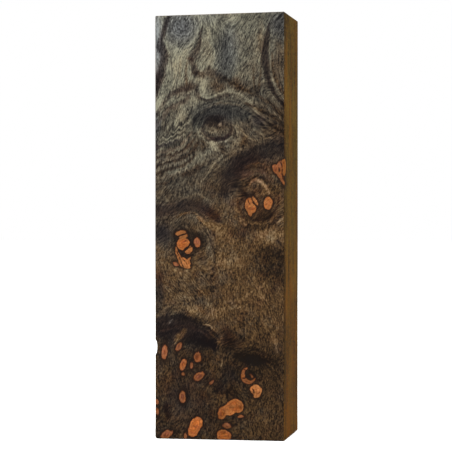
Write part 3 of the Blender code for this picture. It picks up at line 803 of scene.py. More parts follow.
# The left tones hold at minus this x, the right ones at plus this x
TONE_REACH = 20
# How the fields go on into the block, and how they sway
GROWTH_INTO_DEPTH = 1.3
FIBRE_SWAY = Noise(4.0, 0.5, 22)
GROWTH_SWAY = Noise(5.0, 0.4, 21)
# Rings are clear only where growth is steep between these slopes
CLEAR_SLOPES = (0.15, 0.55)
ZEBRA_RINGED = 0.7

# Raggedness of what is drawn, and how much of it ringed wood loses
RAGGED = (Noise(3.1, 0.30, 11), Noise(1.1, 0.18, 12), Noise(0.6, 0.10, 13))
RINGED_CALM = 0.6
# Teeth that fibres give to an edge they cross: their size, their way, and what calms them
TEETH = Noise(1.0, 0.55, 14)
TOOTH_WIDTH = 0.62
TOOTH_LENGTH = 3.0
TOOTH_WAY = (0.37, 0.93)
RINGED_TEETH_CALM = 0.65
ZEBRA_TEETH_CALM = 0.3
# The zebra wood left of the second eye: its zigzag and its bands
ZEBRA = Area(-15.0, 95.0, 7.0, 8.0, 0)
FLAMES = Area(-16.0, 97.2, 3.4, 3.2, 0)
ZIGZAG_SWAY = Noise(2.6, 0.35, 15)
ZIGZAG_LENGTH = 2.0
ZIGZAG_REACH = 1.3
FLAME_REACH = 2.2
ZEBRA_BAND = 1.15
ZEBRA_CONTRAST = 0.13
ZEBRA_EDGE = 1.6
BAND_STRENGTH = 0.8
BAND_FADE = Noise(2.2, 0.4, 33)
# Faint rings elsewhere: how slowly they change along their length, and their contrast
FAINT_RINGS = Noise(0.9, 1.0, 32)
RING_RUN = 0.08
PLAIN_RINGS = 0.012
RINGED_RINGS = 0.022


def lattice_noise(points, noise, draw=0):
    """Smooth noise at points of one to three numbers, on a lattice of cells that repeats."""
    dims = points.shape[1]
    random = np.random.default_rng(noise.seed + DRAW_STEP * draw)
    lattice = random.uniform(-1, 1, (LATTICE_SIDE,) * dims)
    place = points / noise.cell
    base = np.floor(place).astype(int)
    part = place - base
    part = part * part * (3 - 2 * part)
    total = np.zeros(len(points))
    for corner in np.ndindex(*(2,) * dims):
        step = np.array(corner)
        share = np.prod(np.where(step == 1, part, 1 - part), axis=1)
        total += share * lattice[tuple(((base + step) % LATTICE_SIDE).T)]
    return noise.reach * total


def ramp_up(value, low, high):
    """Smooth step from 0 at low to 1 at high."""
    t = np.clip((value - low) / (high - low), 0, 1)
    return t * t * (3 - 2 * t)


def smooth_route(points, pieces=ROUTE_PIECES):
    """More points on the smooth curve through a given route."""
    points = np.array(points, float)
    ends = np.vstack([2 * points[0] - points[1], points, 2 * points[-1] - points[-2]])
    t = np.arange(pieces)[:, None] / pieces
    spans = []
    for a, b, c, d in zip(ends, ends[1:], ends[2:], ends[3:]):
        spans.append(0.5 * (2 * b + (c - a) * t + (2 * a - 5 * b + 4 * c - d) * t**2
                            + (3 * b - a - 3 * c + d) * t**3))
    return np.vstack([*spans, points[-1:]])


def along_route(places, route):
    """Distance of each place from a route of (x, z, width) points, and the route's width there."""
    best = np.full(len(places), np.inf)
    width = np.ones(len(places))
    for a, b in zip(route, route[1:]):
        run = b[:2] - a[:2]
        t = np.clip((places - a[:2]) @ run / max(run @ run, TINY), 0, 1)
        gap = places - a[:2] - t[:, None] * run
        distance = np.hypot(gap[:, 0], gap[:, 1])
        here = a[2] + (b[2] - a[2]) * t
        nearer = distance < best
        best[nearer] = distance[nearer]
        width[nearer] = here[nearer]
    return best, width


def seam_mask(places, route):
    """1 on a seam, falling softly to 0 beside it."""
    reach = max(point[2] for point in route) * SEAM_REACH
    low = route[:, :2].min(0) - reach
    high = route[:, :2].max(0) + reach
    near = np.all((places > low) & (places < high), axis=1)
    mask = np.zeros(len(places))
    distance, width = along_route(places[near], route)
    mask[near] = np.exp(-((distance / np.maximum(width * SEAM_HALF, TINY)) ** SEAM_EDGE))
    return mask


def inside(places, oval):
    """Places measured from the middle of a tilted oval, in its half sizes."""
    turn = math.radians(oval.tilt)
    dx, dz = places[:, 0] - oval.x, places[:, 1] - oval.z
    u = (dx * math.cos(turn) + dz * math.sin(turn)) / oval.half_x
    v = (dz * math.cos(turn) - dx * math.sin(turn)) / oval.half_z
    return u, v


def patch_mask(places, patch):
    """1 in a patch's middle, falling softly to 0 past its edge."""
    u, v = inside(places, patch)
    return np.exp(-((u * u + v * v) ** PATCH_EDGE))


def areas_mask(places, areas):
    """The strongest of several areas, each times its share."""
    mask = np.zeros(len(places))
    for area in areas:
        mask = np.maximum(mask, patch_mask(places, area) * area.share)
    return mask


def pip_depth(places, depth, pip):
    """How deep each place lies inside an orange eye, negative outside it."""
    u, v = inside(places, pip)
    half = min(pip.half_x, pip.half_z)
    w = depth / (PIP_DEPTH * half + PIP_DEPTH_MORE)
    return (1 - np.sqrt(u * u + v * v + w * w)) * half


def route_hints(routes):
    """Places along (route, rise) pairs, with slopes of that rise towards the left of each route."""
    places, slopes = [], []
    for route, rise in routes:
        route = smooth_route(route, HINT_PIECES)[:, :2]
        steps = np.diff(route, axis=0)
        lengths = np.hypot(steps[:, 0], steps[:, 1])
        left = np.column_stack([-steps[:, 1], steps[:, 0]]) / lengths[:, None]
        places.append(((route[1:] + route[:-1]) / 2)[::HINT_SKIP])
        slopes.append(left[::HINT_SKIP] * rise)
    return np.vstack(places), np.vstack(slopes)


def pip_hints():
    """Places round the growing eyes, where growth climbs towards each eye's middle."""
    places, slopes = [], []
    for pip in PIPS[:GROWING_PIPS]:
        tilt = math.radians(pip.tilt)
        spin = np.array([[math.cos(tilt), -math.sin(tilt)], [math.sin(tilt), math.cos(tilt)]])
        for turn in np.arange(PIP_HINTS) * 2 * math.pi / PIP_HINTS:
            out = np.array([pip.half_x * math.cos(turn), pip.half_z * math.sin(turn)])
            away = spin @ out
            places.append(np.array([pip.x, pip.z]) + away * PIP_HINT_RING)
            slopes.append(-PIP_RISE * away / np.hypot(away[0], away[1]))
    return np.array(places), np.array(slopes)


def guided_field(places, hints, slopes, base):
    """A smooth field, and its steepness, with given slopes at its hints and the base slope far off."""
    gap = hints[:, None] - hints[None]
    fall = np.exp(-(gap**2).sum(2) / (2 * HINT_REACH**2))
    outer = gap[..., :, None] * gap[..., None, :] / HINT_REACH**2
    blocks = fall[..., None, None] * (np.eye(2) - outer)
    count = len(hints)
    matrix = blocks.transpose(0, 2, 1, 3).reshape(2 * count, 2 * count)
    matrix += HINT_SLACK * np.eye(2 * count)
    pull = np.linalg.solve(matrix, (slopes - np.array(base)).reshape(-1)).reshape(-1, 2)
    field = places @ np.array(base)
    slope = np.tile(np.array(base, float), (len(places), 1))
    for hint, push in zip(hints, pull):
        away = places - hint
        fall = np.exp(-(away**2).sum(1) / (2 * HINT_REACH**2))
        rise = (away @ push) * fall
        field += rise
        slope += fall[:, None] * push - away * (rise / HINT_REACH**2)[:, None]
    return field, np.hypot(slope[:, 0], slope[:, 1])


def growth_field(places):
    """Growth of the burl: its level lines run along the seams and round the eyes."""
    routes = [(seam.route, seam.rise) for seam in SEAMS if seam.rise]
    hints, slopes = route_hints([*routes, *GUIDES])
    more_hints, more_slopes = pip_hints()
    hints, slopes = np.vstack([hints, more_hints]), np.vstack([slopes, more_slopes])
    return guided_field(places, hints, slopes, GROWTH_SLOPE)


def fibre_field(places):
    """Distance across the fibres: its level lines run along them."""
    hints, slopes = route_hints([(route, 1.0) for route in FIBRES])
    return guided_field(places, hints, slopes, FIBRE_SLOPE)[0]


class Figure:
    """The burl's figure at a set of points on the block."""

    def __init__(self, points, normals):
        self.points = points / MM
        self.depth = self.points[:, 1] - LOW.y / MM
        self.show = ramp_up(-normals[:, 1], *FACING) * (self.depth < SHOW_DEPTH)
        flat = self.points[:, [0, 2]]
        self.fibre = fibre_field(flat) + lattice_noise(self.points, FIBRE_SWAY)
        self.ringed = areas_mask(flat, RINGED)
        self.zebra = patch_mask(flat, ZEBRA)
        self.smooth_places = self.ragged(flat)
        self.places = self.toothed(self.smooth_places)

    def ragged(self, places):
        """Places pushed about a little, so that what is drawn by them has a grown edge."""
        calm = 1 - RINGED_CALM * self.ringed[:, None]
        for noise in RAGGED:
            push = [lattice_noise(self.points, noise, draw) for draw in range(2)]
            places = places + np.column_stack(push) * calm
        return places

    def toothed(self, places):
        """Places pushed along the fibres by uneven teeth, and in zigzags in the zebra wood."""
        across = np.column_stack([
            self.fibre / TOOTH_WIDTH, places[:, 1] / TOOTH_LENGTH, self.depth / TOOTH_WIDTH,
        ])
        calm = (1 - RINGED_TEETH_CALM * self.ringed) * (1 - ZEBRA_TEETH_CALM * self.zebra)
        turn = self.fibre + lattice_noise(self.points, ZIGZAG_SWAY)
        zigzag = np.abs((turn / ZIGZAG_LENGTH * 2) % 2 - 1) - 0.5
        reach = ZIGZAG_REACH * self.zebra + FLAME_REACH * patch_mask(places, FLAMES)
        push = calm * lattice_noise(across, TEETH) + reach * zigzag
        return places + push[:, None] * np.array(TOOTH_WAY)

    def between_sides(self, left, right):
        """A value at every point, out of those at a few heights on the left and on the right."""
        x, z = self.places.T
        share = ramp_up(x, -TONE_REACH, TONE_REACH)
        return np.interp(z, TONE_HEIGHTS, left) * (1 - share) + np.interp(z, TONE_HEIGHTS, right) * share

    def marks(self):
        """Every patch and seam, with how strongly each point lies in it."""
        for patch in PATCHES:
            yield patch, patch_mask(self.places, patch)
        for seam in SEAMS:
            yield seam, seam_mask(self.places, smooth_route(seam.route))

    def measure(self):
        """All the fields, by the names under which the finish reads them."""
        # Tone and warmth by height: the wood's own, plus a painted sheen that lightens and cools the upper
        # show face
        shade = self.between_sides(TONES_LEFT, TONES_RIGHT)
        warmth = self.between_sides(WARMTHS_LEFT, WARMTHS_RIGHT)
        plum = np.zeros(len(shade))
        for mark, mask in self.marks():
            shade += mask * mark.shade
            warmth += mask * mark.warmth
            plum += mask * mark.plum
        growth, steepness = growth_field(self.places)
        growth += lattice_noise(self.points, GROWTH_SWAY)
        ringed = np.maximum(self.ringed, ZEBRA_RINGED * self.zebra)
        pip, hue, tone = self.pips()
        return {
            "growth": growth + GROWTH_INTO_DEPTH * self.depth,
            "fibre": self.fibre + self.depth,
            "ringed": ringed * ramp_up(steepness, *CLEAR_SLOPES),
            "shade": shade + self.bands(growth),
            "warmth": np.clip(warmth, 0, 1),
            "plum": np.clip(plum, 0, 1),
            "slate": areas_mask(self.places, SLATES),
            "pip": pip,
            "pip_hue": hue,
            "pip_tone": tone,
            "show": self.show,
            "arris": self.arris(),
        }

    def bands(self, growth):
        """Growth rings: strong zebra bands left of the second eye, faint ones elsewhere."""
        strength = BAND_STRENGTH + lattice_noise(self.points, BAND_FADE)
        wave = np.tanh(ZEBRA_EDGE * np.sin(2 * np.pi * growth / ZEBRA_BAND)) * strength
        slow = lattice_noise(np.column_stack([growth, self.places * RING_RUN]), FAINT_RINGS)
        faint = PLAIN_RINGS + RINGED_RINGS * self.ringed
        return self.zebra * ZEBRA_CONTRAST * wave + faint * slow

    def orange(self):
        """Every orange grain and streak, with how deep each point lies in it."""
        places = self.smooth_places
        for pip in PIPS:
            yield pip, pip_depth(places, self.depth, pip)
        for streak in STREAKS:
            distance, width = along_route(places, smooth_route(streak.route))
            yield streak, width / 2 - distance - self.depth * STREAK_TAPER

    def pips(self):
        """Depth inside the nearest orange eye, its hue from rose to yellow, and its tone."""
        depth = np.full(len(self.points), NO_PIP)
        hue = np.zeros(len(depth))
        tone = np.ones(len(depth))
        for eye, here in self.orange():
            nearer = here > depth
            depth[nearer] = here[nearer]
            hue[nearer] = eye.hue
            tone[nearer] = eye.tone
        for crack in CRACKS:
            distance, width = along_route(self.smooth_places, smooth_route(crack))
            depth = np.minimum(depth, distance - width / 2)
        return depth, hue, tone

    def arris(self):
        """How far each point is from the nearest long edge or end edge of the block."""
        low, high = np.array(LOW) / MM, np.array(HIGH) / MM
        to_side = np.sort(np.minimum(self.points - low, high - self.points), axis=1)
        return to_side[:, 1]


# The finish

# Tones, from 0 black to 1 white, at which the wood has its dark, middle and light colour
DARK_TONE = 0.09
MIDDLE_TONE = 0.29
LIGHT_TONE = 0.60
RAMP_STEPS = 3
GAMMA = 2.2

# How much each kind of grain adds to or takes from the tone of the show face
RING_CONTRAST = 0.074
STROKE_CONTRAST = 0.066
FIBRE_CONTRAST = 0.055
PORE_CONTRAST = 0.085
SPECKLE_CONTRAST = 0.078
MOTTLE_CONTRAST = 0.022
UNRINGED_FROM = 1.25

# Kinds of grain: the field each follows, its changes per millimetre across and along that field,
# the detail of its noise, and the range of the noise that becomes the grain
Grain = namedtuple("Grain", "name field across along detail span smooth")
BOTH_WAYS = (0.30, 0.70, -1.0, 1.0)
GRAINS = (
    Grain("Rings", "Growth", 2.5, 0.12, 0.0, BOTH_WAYS, False),
    Grain("Lines", "Fibre", 2.5, 0.35, 0.0, BOTH_WAYS, False),
    Grain("Strokes", "Fibre", 2.5, 0.90, 0.0, BOTH_WAYS, False),
    Grain("Fibres", "Fibre", 3.0, 1.30, 0.0, BOTH_WAYS, False),
    Grain("Pores", "Fibre", 2.4, 1.30, 0.0, (0.60, 0.74, 0.0, -1.0), True),
    Grain("Mottle", "Fibre", 0.8, 0.30, 2.0, (0.32, 0.68, -1.0, 1.0), False),
    Grain("Speckle", "Fibre", 0.9, 2.10, 0.0, BOTH_WAYS, False),
)
GRAIN_ROUGHNESS = 0.6

# Noises of the finish: changes per millimetre, detail and roughness, and how much each counts where
# it is centred on nothing
Cloud = namedtuple("Cloud", "scale detail roughness weight")
WARM_SPOTS = Cloud(1.1, 2.0, 0.6, 0.6)
WARM_DRIFTS = Cloud(0.22, 2.0, 0.5, 1.1)
BARK_DRIFTS = Cloud(0.26, 2.0, 0.5, 2.1)
SAWN_STREAKS = Cloud(0.45, 3.0, 0.6, 1.7)
SAWN_DRIFTS = Cloud(0.055, 2.0, 0.5, 1.3)
SAWN_SPOTS = Cloud(0.75, 2.0, 0.6, 1.0)
SAW_MARKS = Cloud(1.0, 2.0, 0.6, 0.7)
RIM_WOBBLE = Cloud(1.8, 2.0, 0.6, 0.45)
HUE_DRIFTS = Cloud(0.9, 2.0, 0.5, 1.2)
EYE_LINES = Cloud(0.8, 2.0, 0.6, 0.5)
EYE_SPOTS = Cloud(0.7, 2.0, 0.5, 0.45)
RED_STREAKS = (0.30, 3.0, 0.6)
EYE_FLAMES = (0.9, 2.0, 0.6)
EYE_SPECKS = (1.7, 1.0, 0.5)

# Where the noises of the bark and of the red streaks are read, and how the sawn faces' are drawn out
BARK_MOVE = {"Location": (7.0, 3.0, 41.0)}
RED_MOVE = {"Location": (31.0, 17.0, 5.0), "Scale": (1.0, 1.0, 0.10)}
STREAK_MOVE = {"Scale": (1.0, 1.0, 0.07)}
SAW_MOVE = {"Scale": (0.2, 0.2, 1.4)}

# Ranges of the show face, as (from low, from high, to low, to high), or from low to high for 0 to 1
RINGS_BY_RINGED = (0.0, 1.0, 0.25, 1.0)
SHORT_BY_WARMTH = (0.15, 0.75)
SPECKLE_BY_SHORT = (0.0, 1.0, 0.5, 1.0)
GRAIN_BY_TONE = (0.06, 0.36, 0.40, 1.22)
GRAIN_BY_PLUM = (0.2, 0.9, 1.0, 0.7)
GRAIN_BY_SHORT = (0.0, 1.0, 1.06, 0.88)
LEAST_PATCHY = 0.25

# The sawn faces: what grain adds to their tone, how it changes away from the show face, and how red
SAWN_SPECKLE = 0.20
SAWN_FIBRES = 0.16
SAWN_RINGS = 0.08
SAWN_TONE_BY_DEPTH = (LOW.y / MM, LOW.y / MM + 6.0, 0.25, 0.52)
RED_BY_STREAK = (0.44, 0.64, 0.0, 0.8)
RED_BY_HEIGHT = (75.0, 20.0, 0.0, 0.55)

# The orange eyes: ranges by depth inside them in millimetres, and by noise
HALO_BY_DEPTH = (-0.9, -0.1, 0.0, 0.85)
RIM_BY_DEPTH = (-0.02, 0.16, 0.8, 0.0)
EYE_BY_DEPTH = (-0.08, 0.08)
GOLD_BY_SHOW = (0.0, 1.0, 0.55, 0.0)
RED_BY_FLAME = (0.50, 0.66, 0.0, 0.45)
SPECK_BY_NOISE = (0.66, 0.72, 0.0, 0.7)
FLAME_RUN = 0.5
EYE_LINES_SLICE = 7.0
# What grain adds to an eye's tone, and the least tone
EYE_STROKES = 0.09
EYE_FIBRES = 0.08
EYE_SPECKLE = 0.08
LEAST_EYE_TONE = 0.1
# Rings inside an eye's edge: where each comes in, where it goes out, and its strength
Ring = namedtuple("Ring", "start full fade end strength")
LIT_RING = Ring(0.05, 0.22, 0.35, 0.65, 0.4)
RED_RING = Ring(0.45, 0.65, 0.75, 0.95, 0.35)

# How much smoother the show face counts than the sawn ones, the range of roughness that follows,
# the sheen, and the relief of the fibres
SHOW_SMOOTHING = 4.0
ROUGHNESS = (-5.0, 1.0, 0.48, 0.80)
SHEEN = 0.06
BUMP_STRENGTH = 0.5
BUMP_DISTANCE = 0.012 * MM


class Wiring:
    """Adds nodes to a tree and joins them; an input is a socket or a plain value."""

    def __init__(self, tree):
        self.tree = tree

    def node(self, kind, inputs, **settings):
        """A node with its settings made and its inputs joined."""
        node = self.tree.nodes.new(kind)
        for name, value in settings.items():
            setattr(node, name, value)
        for key, value in inputs.items():
            if isinstance(value, bpy.types.NodeSocket):
                self.tree.links.new(value, node.inputs[key])
            else:
                node.inputs[key].default_value = value
        return node

    def math(self, operation, a, b=0.0, clamp=False):
        """A Math node's result."""
        return self.node("ShaderNodeMath", {0: a, 1: b}, operation=operation, use_clamp=clamp).outputs[0]

    def add(self, first, *others):
        """The sum of several numbers."""
        for other in others:
            first = self.math("ADD", first, other)
        return first

    def times(self, first, *others):
        """The product of several numbers."""
        for other in others:
            first = self.math("MULTIPLY", first, other)
        return first

    def attribute(self, name):
        """A number stored on the mesh."""
        return self.node("ShaderNodeAttribute", {}, attribute_name=name).outputs["Fac"]

    def vector(self, x, y, z):
        """Three numbers as one vector."""
        return self.node("ShaderNodeCombineXYZ", {0: x, 1: y, 2: z}).outputs[0]

    def parts(self, vector):
        """The three numbers of a vector."""
        return self.node("ShaderNodeSeparateXYZ", {0: vector}).outputs

    def moved(self, vector, move):
        """A place moved and stretched, to read a noise elsewhere."""
        return self.node("ShaderNodeMapping", {"Vector": vector, **move}).outputs[0]

    def noise(self, vector, scale, detail, roughness):
        """A noise texture's number."""
        inputs = {"Vector": vector, "Scale": scale, "Detail": detail, "Roughness": roughness}
        return self.node("ShaderNodeTexNoise", inputs).outputs["Fac"]

    def cloud(self, vector, cloud):
        """A noise that reaches half its weight either way."""
        value = self.noise(vector, *cloud[:3])
        return self.times(self.math("SUBTRACT", value, 0.5), cloud.weight)

    def spread(self, value, low, high, to_low=0.0, to_high=1.0, smooth=True):
        """A number moved from one range to another, and held inside it."""
        kind = "SMOOTHSTEP" if smooth else "LINEAR"
        inputs = {"Value": value, "From Min": low, "From Max": high, "To Min": to_low, "To Max": to_high}
        return self.node("ShaderNodeMapRange", inputs, interpolation_type=kind).outputs["Result"]

    def mix(self, factor, a, b, blend="MIX"):
        """Two colours mixed."""
        node = self.node("ShaderNodeMix", {0: factor, 6: a, 7: b}, data_type="RGBA", blend_type=blend)
        return node.outputs[2]

    def ramp(self, factor, stops):
        """A colour ramp through (place, colour) stops."""
        node = self.node("ShaderNodeValToRGB", {0: factor})
        elements = node.color_ramp.elements
        while len(elements) < len(stops):
            elements.new(0.5)
        for element, (place, colour) in zip(elements, stops):
            element.position = place
            element.color = colour
        return node.outputs["Color"]


def grain_group():
    """Rings that follow the burl's growth, and strokes, fibres, pores and mottling along its fibres."""
    group = bpy.data.node_groups.new("burl grain", "ShaderNodeTree")
    for name, kind in (("Growth", "Float"), ("Fibre", "Float"), ("Place", "Vector")):
        group.interface.new_socket(name, in_out="INPUT", socket_type="NodeSocket" + kind)
    for grain in GRAINS:
        group.interface.new_socket(grain.name, in_out="OUTPUT", socket_type="NodeSocketFloat")
    source = group.nodes.new("NodeGroupInput").outputs
    sink = group.nodes.new("NodeGroupOutput").inputs
    w = Wiring(group)
    place = w.parts(source["Place"])
    for grain in GRAINS:
        x, y, z = [w.times(place[i], grain.along) for i in range(3)]
        x = w.add(x, w.times(source[grain.field], grain.across))
        value = w.noise(w.vector(x, y, z), 1.0, grain.detail, GRAIN_ROUGHNESS)
        w.tree.links.new(w.spread(value, *grain.span, smooth=grain.smooth), sink[grain.name])
    return group


def between(dark, light, share):
    """The colour at a share of the way between two, as the eye judges it."""
    return tuple(
        (a ** (1 / GAMMA) * (1 - share) + b ** (1 / GAMMA) * share) ** GAMMA for a, b in zip(dark, light)
    )


def tone_stops(dark, middle, light):
    """Ramp stops of a wood's tones, from its dark over its middle to its light colour."""
    stops = []
    for i in range(RAMP_STEPS):
        share = i / RAMP_STEPS
        stops.append((DARK_TONE + (MIDDLE_TONE - DARK_TONE) * share, between(dark, middle, share)))
    for i in range(RAMP_STEPS + 1):
        share = i / RAMP_STEPS
        stops.append((MIDDLE_TONE + (LIGHT_TONE - MIDDLE_TONE) * share, between(middle, light, share)))
    return stops


def wood_colour(w, colours, shade, warmth, slate, plum):
    """The wood's colour: cool, warm and slate ramps of tones, mixed, with the bark's tint over them."""
    cool = w.ramp(shade, tone_stops(colours.cool_dark, colours.cool_middle, colours.cool_light))
    warm = w.ramp(shade, tone_stops(colours.warm_dark, colours.warm_middle, colours.warm_light))
    blue = w.ramp(shade, tone_stops(colours.slate_dark, colours.slate_middle, colours.slate_light))
    mixed = w.mix(slate, w.mix(warmth, cool, warm), blue)
    return w.mix(plum, mixed, colours.plum, "MULTIPLY")


def figured_wood(w, colours, place, grain):
    """The sanded show face: the figure's own tones, with rings and fibres over them."""
    shade, warmth, plum = [w.attribute(name) for name in ("shade", "warmth", "plum")]
    ringed = w.spread(w.attribute("ringed"), *RINGS_BY_RINGED, smooth=False)
    short = w.spread(warmth, *SHORT_BY_WARMTH)
    long = w.math("SUBTRACT", 1.0, short)
    streaky = w.add(w.times(grain["Strokes"], short), w.times(grain["Lines"], long))
    detail = w.add(
        w.times(grain["Rings"], ringed, RING_CONTRAST),
        w.times(streaky, w.math("SUBTRACT", UNRINGED_FROM, ringed), STROKE_CONTRAST),
        w.times(grain["Fibres"], FIBRE_CONTRAST),
        w.times(grain["Pores"], PORE_CONTRAST),
        w.times(grain["Mottle"], short, MOTTLE_CONTRAST),
        w.times(grain["Speckle"], w.spread(short, *SPECKLE_BY_SHORT), SPECKLE_CONTRAST),
    )
    strength = w.times(
        w.spread(shade, *GRAIN_BY_TONE, smooth=False),
        w.spread(plum, *GRAIN_BY_PLUM),
        w.spread(short, *GRAIN_BY_SHORT),
    )
    shade = w.add(shade, w.times(detail, strength))
    patchy = w.add(w.cloud(place, WARM_SPOTS), w.cloud(place, WARM_DRIFTS))
    patchy = w.times(patchy, w.add(warmth, LEAST_PATCHY))
    warmth = w.math("ADD", warmth, patchy, clamp=True)
    barky = w.times(w.cloud(w.moved(place, BARK_MOVE), BARK_DRIFTS), short)
    plum = w.math("ADD", plum, barky, clamp=True)
    return wood_colour(w, colours, shade, warmth, w.attribute("slate"), plum)


def sawn_wood(w, colours, place, grain):
    """The faces left as sawn: golden brown streaks with saw marks across them, redder low down."""
    tone = w.add(
        w.cloud(w.moved(place, STREAK_MOVE), SAWN_STREAKS),
        w.cloud(place, SAWN_DRIFTS),
        w.cloud(place, SAWN_SPOTS),
        w.cloud(w.moved(place, SAW_MOVE), SAW_MARKS),
        w.times(grain["Speckle"], SAWN_SPECKLE),
        w.times(grain["Fibres"], SAWN_FIBRES),
        w.times(grain["Rings"], SAWN_RINGS),
        w.spread(w.parts(place)["Y"], *SAWN_TONE_BY_DEPTH),
    )
    tone = w.spread(tone, 0.0, 1.0, smooth=False)
    brown = w.mix(tone, colours.sawn_dark, colours.sawn_light)
    red = w.mix(tone, colours.sawn_dark, colours.sawn_red)
    streaks = w.spread(w.noise(w.moved(place, RED_MOVE), *RED_STREAKS), *RED_BY_STREAK)
    low_down = w.spread(w.parts(place)["Z"], *RED_BY_HEIGHT)
    return w.mix(w.math("ADD", streaks, low_down, clamp=True), brown, red)


def eye_ring(w, depth, ring):
    """How strongly a ring inside an eye's edge shows at a depth."""
    comes, goes = w.spread(depth, ring.start, ring.full), w.spread(depth, ring.fade, ring.end, 1.0, 0.0)
    return w.times(comes, goes, ring.strength)


def with_eyes(w, colours, place, grain, bare):
    """The wood's colour with the orange eyes, their rims and their dark halos laid over it."""
    depth = w.add(w.attribute("pip"), w.cloud(place, RIM_WOBBLE))
    bare = w.mix(w.spread(depth, *HALO_BY_DEPTH), bare, colours.halo)
    hue = w.math("ADD", w.attribute("pip_hue"), w.cloud(place, HUE_DRIFTS), clamp=True)
    eye = w.ramp(hue, [(0.0, colours.eye_rose), (0.5, colours.eye_orange), (1.0, colours.eye_yellow)])
    up = w.parts(place)["Z"]
    flame = w.noise(w.vector(w.attribute("fibre"), w.times(up, FLAME_RUN), 0.0), *EYE_FLAMES)
    eye = w.mix(w.spread(flame, *RED_BY_FLAME), eye, colours.eye_red)
    tint = w.add(
        w.times(grain["Strokes"], EYE_STROKES),
        w.times(grain["Fibres"], EYE_FIBRES),
        w.times(grain["Speckle"], EYE_SPECKLE),
        w.cloud(w.vector(up, flame, EYE_LINES_SLICE), EYE_LINES),
        w.cloud(place, EYE_SPOTS),
        w.attribute("pip_tone"),
    )
    tint = w.math("POWER", w.math("MAXIMUM", tint, LEAST_EYE_TONE), GAMMA)
    eye = w.mix(1.0, eye, w.vector(tint, tint, tint), "MULTIPLY")
    specks = w.spread(w.noise(place, *EYE_SPECKS), *SPECK_BY_NOISE)
    eye = w.mix(specks, eye, colours.eye_rim)
    eye = w.mix(eye_ring(w, depth, LIT_RING), eye, colours.eye_yellow)
    eye = w.mix(eye_ring(w, depth, RED_RING), eye, colours.eye_red)
    eye = w.mix(w.spread(depth, *RIM_BY_DEPTH), eye, colours.eye_rim)
    eye = w.mix(w.spread(w.attribute("show"), *GOLD_BY_SHOW), eye, colours.eye_gold)
    return w.mix(w.spread(depth, *EYE_BY_DEPTH), bare, eye)


def burl_finish(colours):
    """Stabilized burl: sanded on the show face, as sawn on the others."""
    material = bpy.data.materials.new("stabilized_burl")
    material.use_nodes = True
    w = Wiring(material.node_tree)
    shader = material.node_tree.nodes["Principled BSDF"]
    metres = w.node("ShaderNodeTexCoord", {}).outputs["Object"]
    place = w.node("ShaderNodeVectorMath", {0: metres, "Scale": 1 / MM}, operation="SCALE").outputs[0]
    fields = {"Growth": w.attribute("growth"), "Fibre": w.attribute("fibre"), "Place": place}
    grain = w.node("ShaderNodeGroup", fields, node_tree=grain_group()).outputs
    sawn = sawn_wood(w, colours, place, grain)
    show = w.attribute("show")
    bare = w.mix(show, sawn, figured_wood(w, colours, place, grain))
    colour = with_eyes(w, colours, place, grain, bare)
    w.tree.links.new(colour, shader.inputs["Base Color"])
    smoothed = w.math("SUBTRACT", grain["Fibres"], w.times(show, SHOW_SMOOTHING))
    rough = w.spread(smoothed, *ROUGHNESS, smooth=False)
    w.tree.links.new(rough, shader.inputs["Roughness"])
    shader.inputs["Specular IOR Level"].default_value = SHEEN
    height = w.add(grain["Fibres"], grain["Pores"])
    bumps = {"Height": height, "Strength": BUMP_STRENGTH, "Distance": BUMP_DISTANCE}
    bump = w.node("ShaderNodeBump", bumps)
    w.tree.links.new(bump.outputs[0], shader.inputs["Normal"])
    return material


# The pieces

# Sides on the map: which way each faces, the axis of its width and that axis's sign, its left edge
SIDE_SPACES = (
    ((0, -1, 0), 0, 1, 0.5),
    ((0, 1, 0), 0, -1, 41.5),
    ((1, 0, 0), 1, 1, 82.5),
    ((-1, 0, 0), 1, -1, 113.5),
)
# Ends on the map: whether each looks up or down, and its left edge
END_SPACES = ((1, 1.0), (-1, 20.0))
MAP_SIDE = 145.0
MAP_MARGIN = 0.5
END_SCALE = 0.3
END_LIFT = 132.0

# Relief: wood darker than the first tone sank, and fully so at the second; eyes stand up by a share
# of that, over these depths; ripples of the saw lean a little; and the eased edges stay clear
SUNK_TONE = 0.16
FULLY_SUNK_TONE = 0.04
CROWN_SHARE = 0.5
CROWN_DEPTHS = (-0.1, 0.6)
RIPPLE = Noise(1.6, 1.0, 41)
RIPPLE_LEAN = 0.05
RIPPLE_RUN = 0.02
ARRIS_CLEAR = (0.3, 1.5)


def lay_out_map(mesh):
    """A UV map with the four long faces side by side and the ends small above them."""
    points = np.empty(len(mesh.vertices) * 3)
    mesh.vertices.foreach_get("co", points)
    points = (points.reshape(-1, 3) - np.array(LOW)) / MM
    middle = (np.array(HIGH) - np.array(LOW)) / MM / 2
    corners = np.empty(len(mesh.loops), int)
    mesh.loops.foreach_get("vertex_index", corners)
    normals = np.empty(len(mesh.polygons) * 3)
    mesh.polygons.foreach_get("normal", normals)
    counts = np.empty(len(mesh.polygons), int)
    mesh.polygons.foreach_get("loop_total", counts)
    facing = np.repeat(normals.reshape(-1, 3), counts, axis=0)
    spot = points[corners]
    uv = np.zeros((len(corners), 2))
    side = np.argmax(np.abs(facing), axis=1)
    for normal, axis, sign, left in SIDE_SPACES:
        mine = (side == np.argmax(np.abs(normal))) & (facing @ np.array(normal) > 0)
        across = (spot[mine, axis] - middle[axis]) * sign + middle[axis]
        uv[mine] = np.column_stack([left + across, MAP_MARGIN + spot[mine, 2]])
    for sign, left in END_SPACES:
        mine = (side == 2) & (facing[:, 2] * sign > 0)
        uv[mine] = spot[mine][:, :2] * END_SCALE + np.array([left, END_LIFT])
    layer = mesh.uv_layers.new(name="OFBake")
    layer.uv.foreach_set("vector", (uv / MAP_SIDE).reshape(-1))


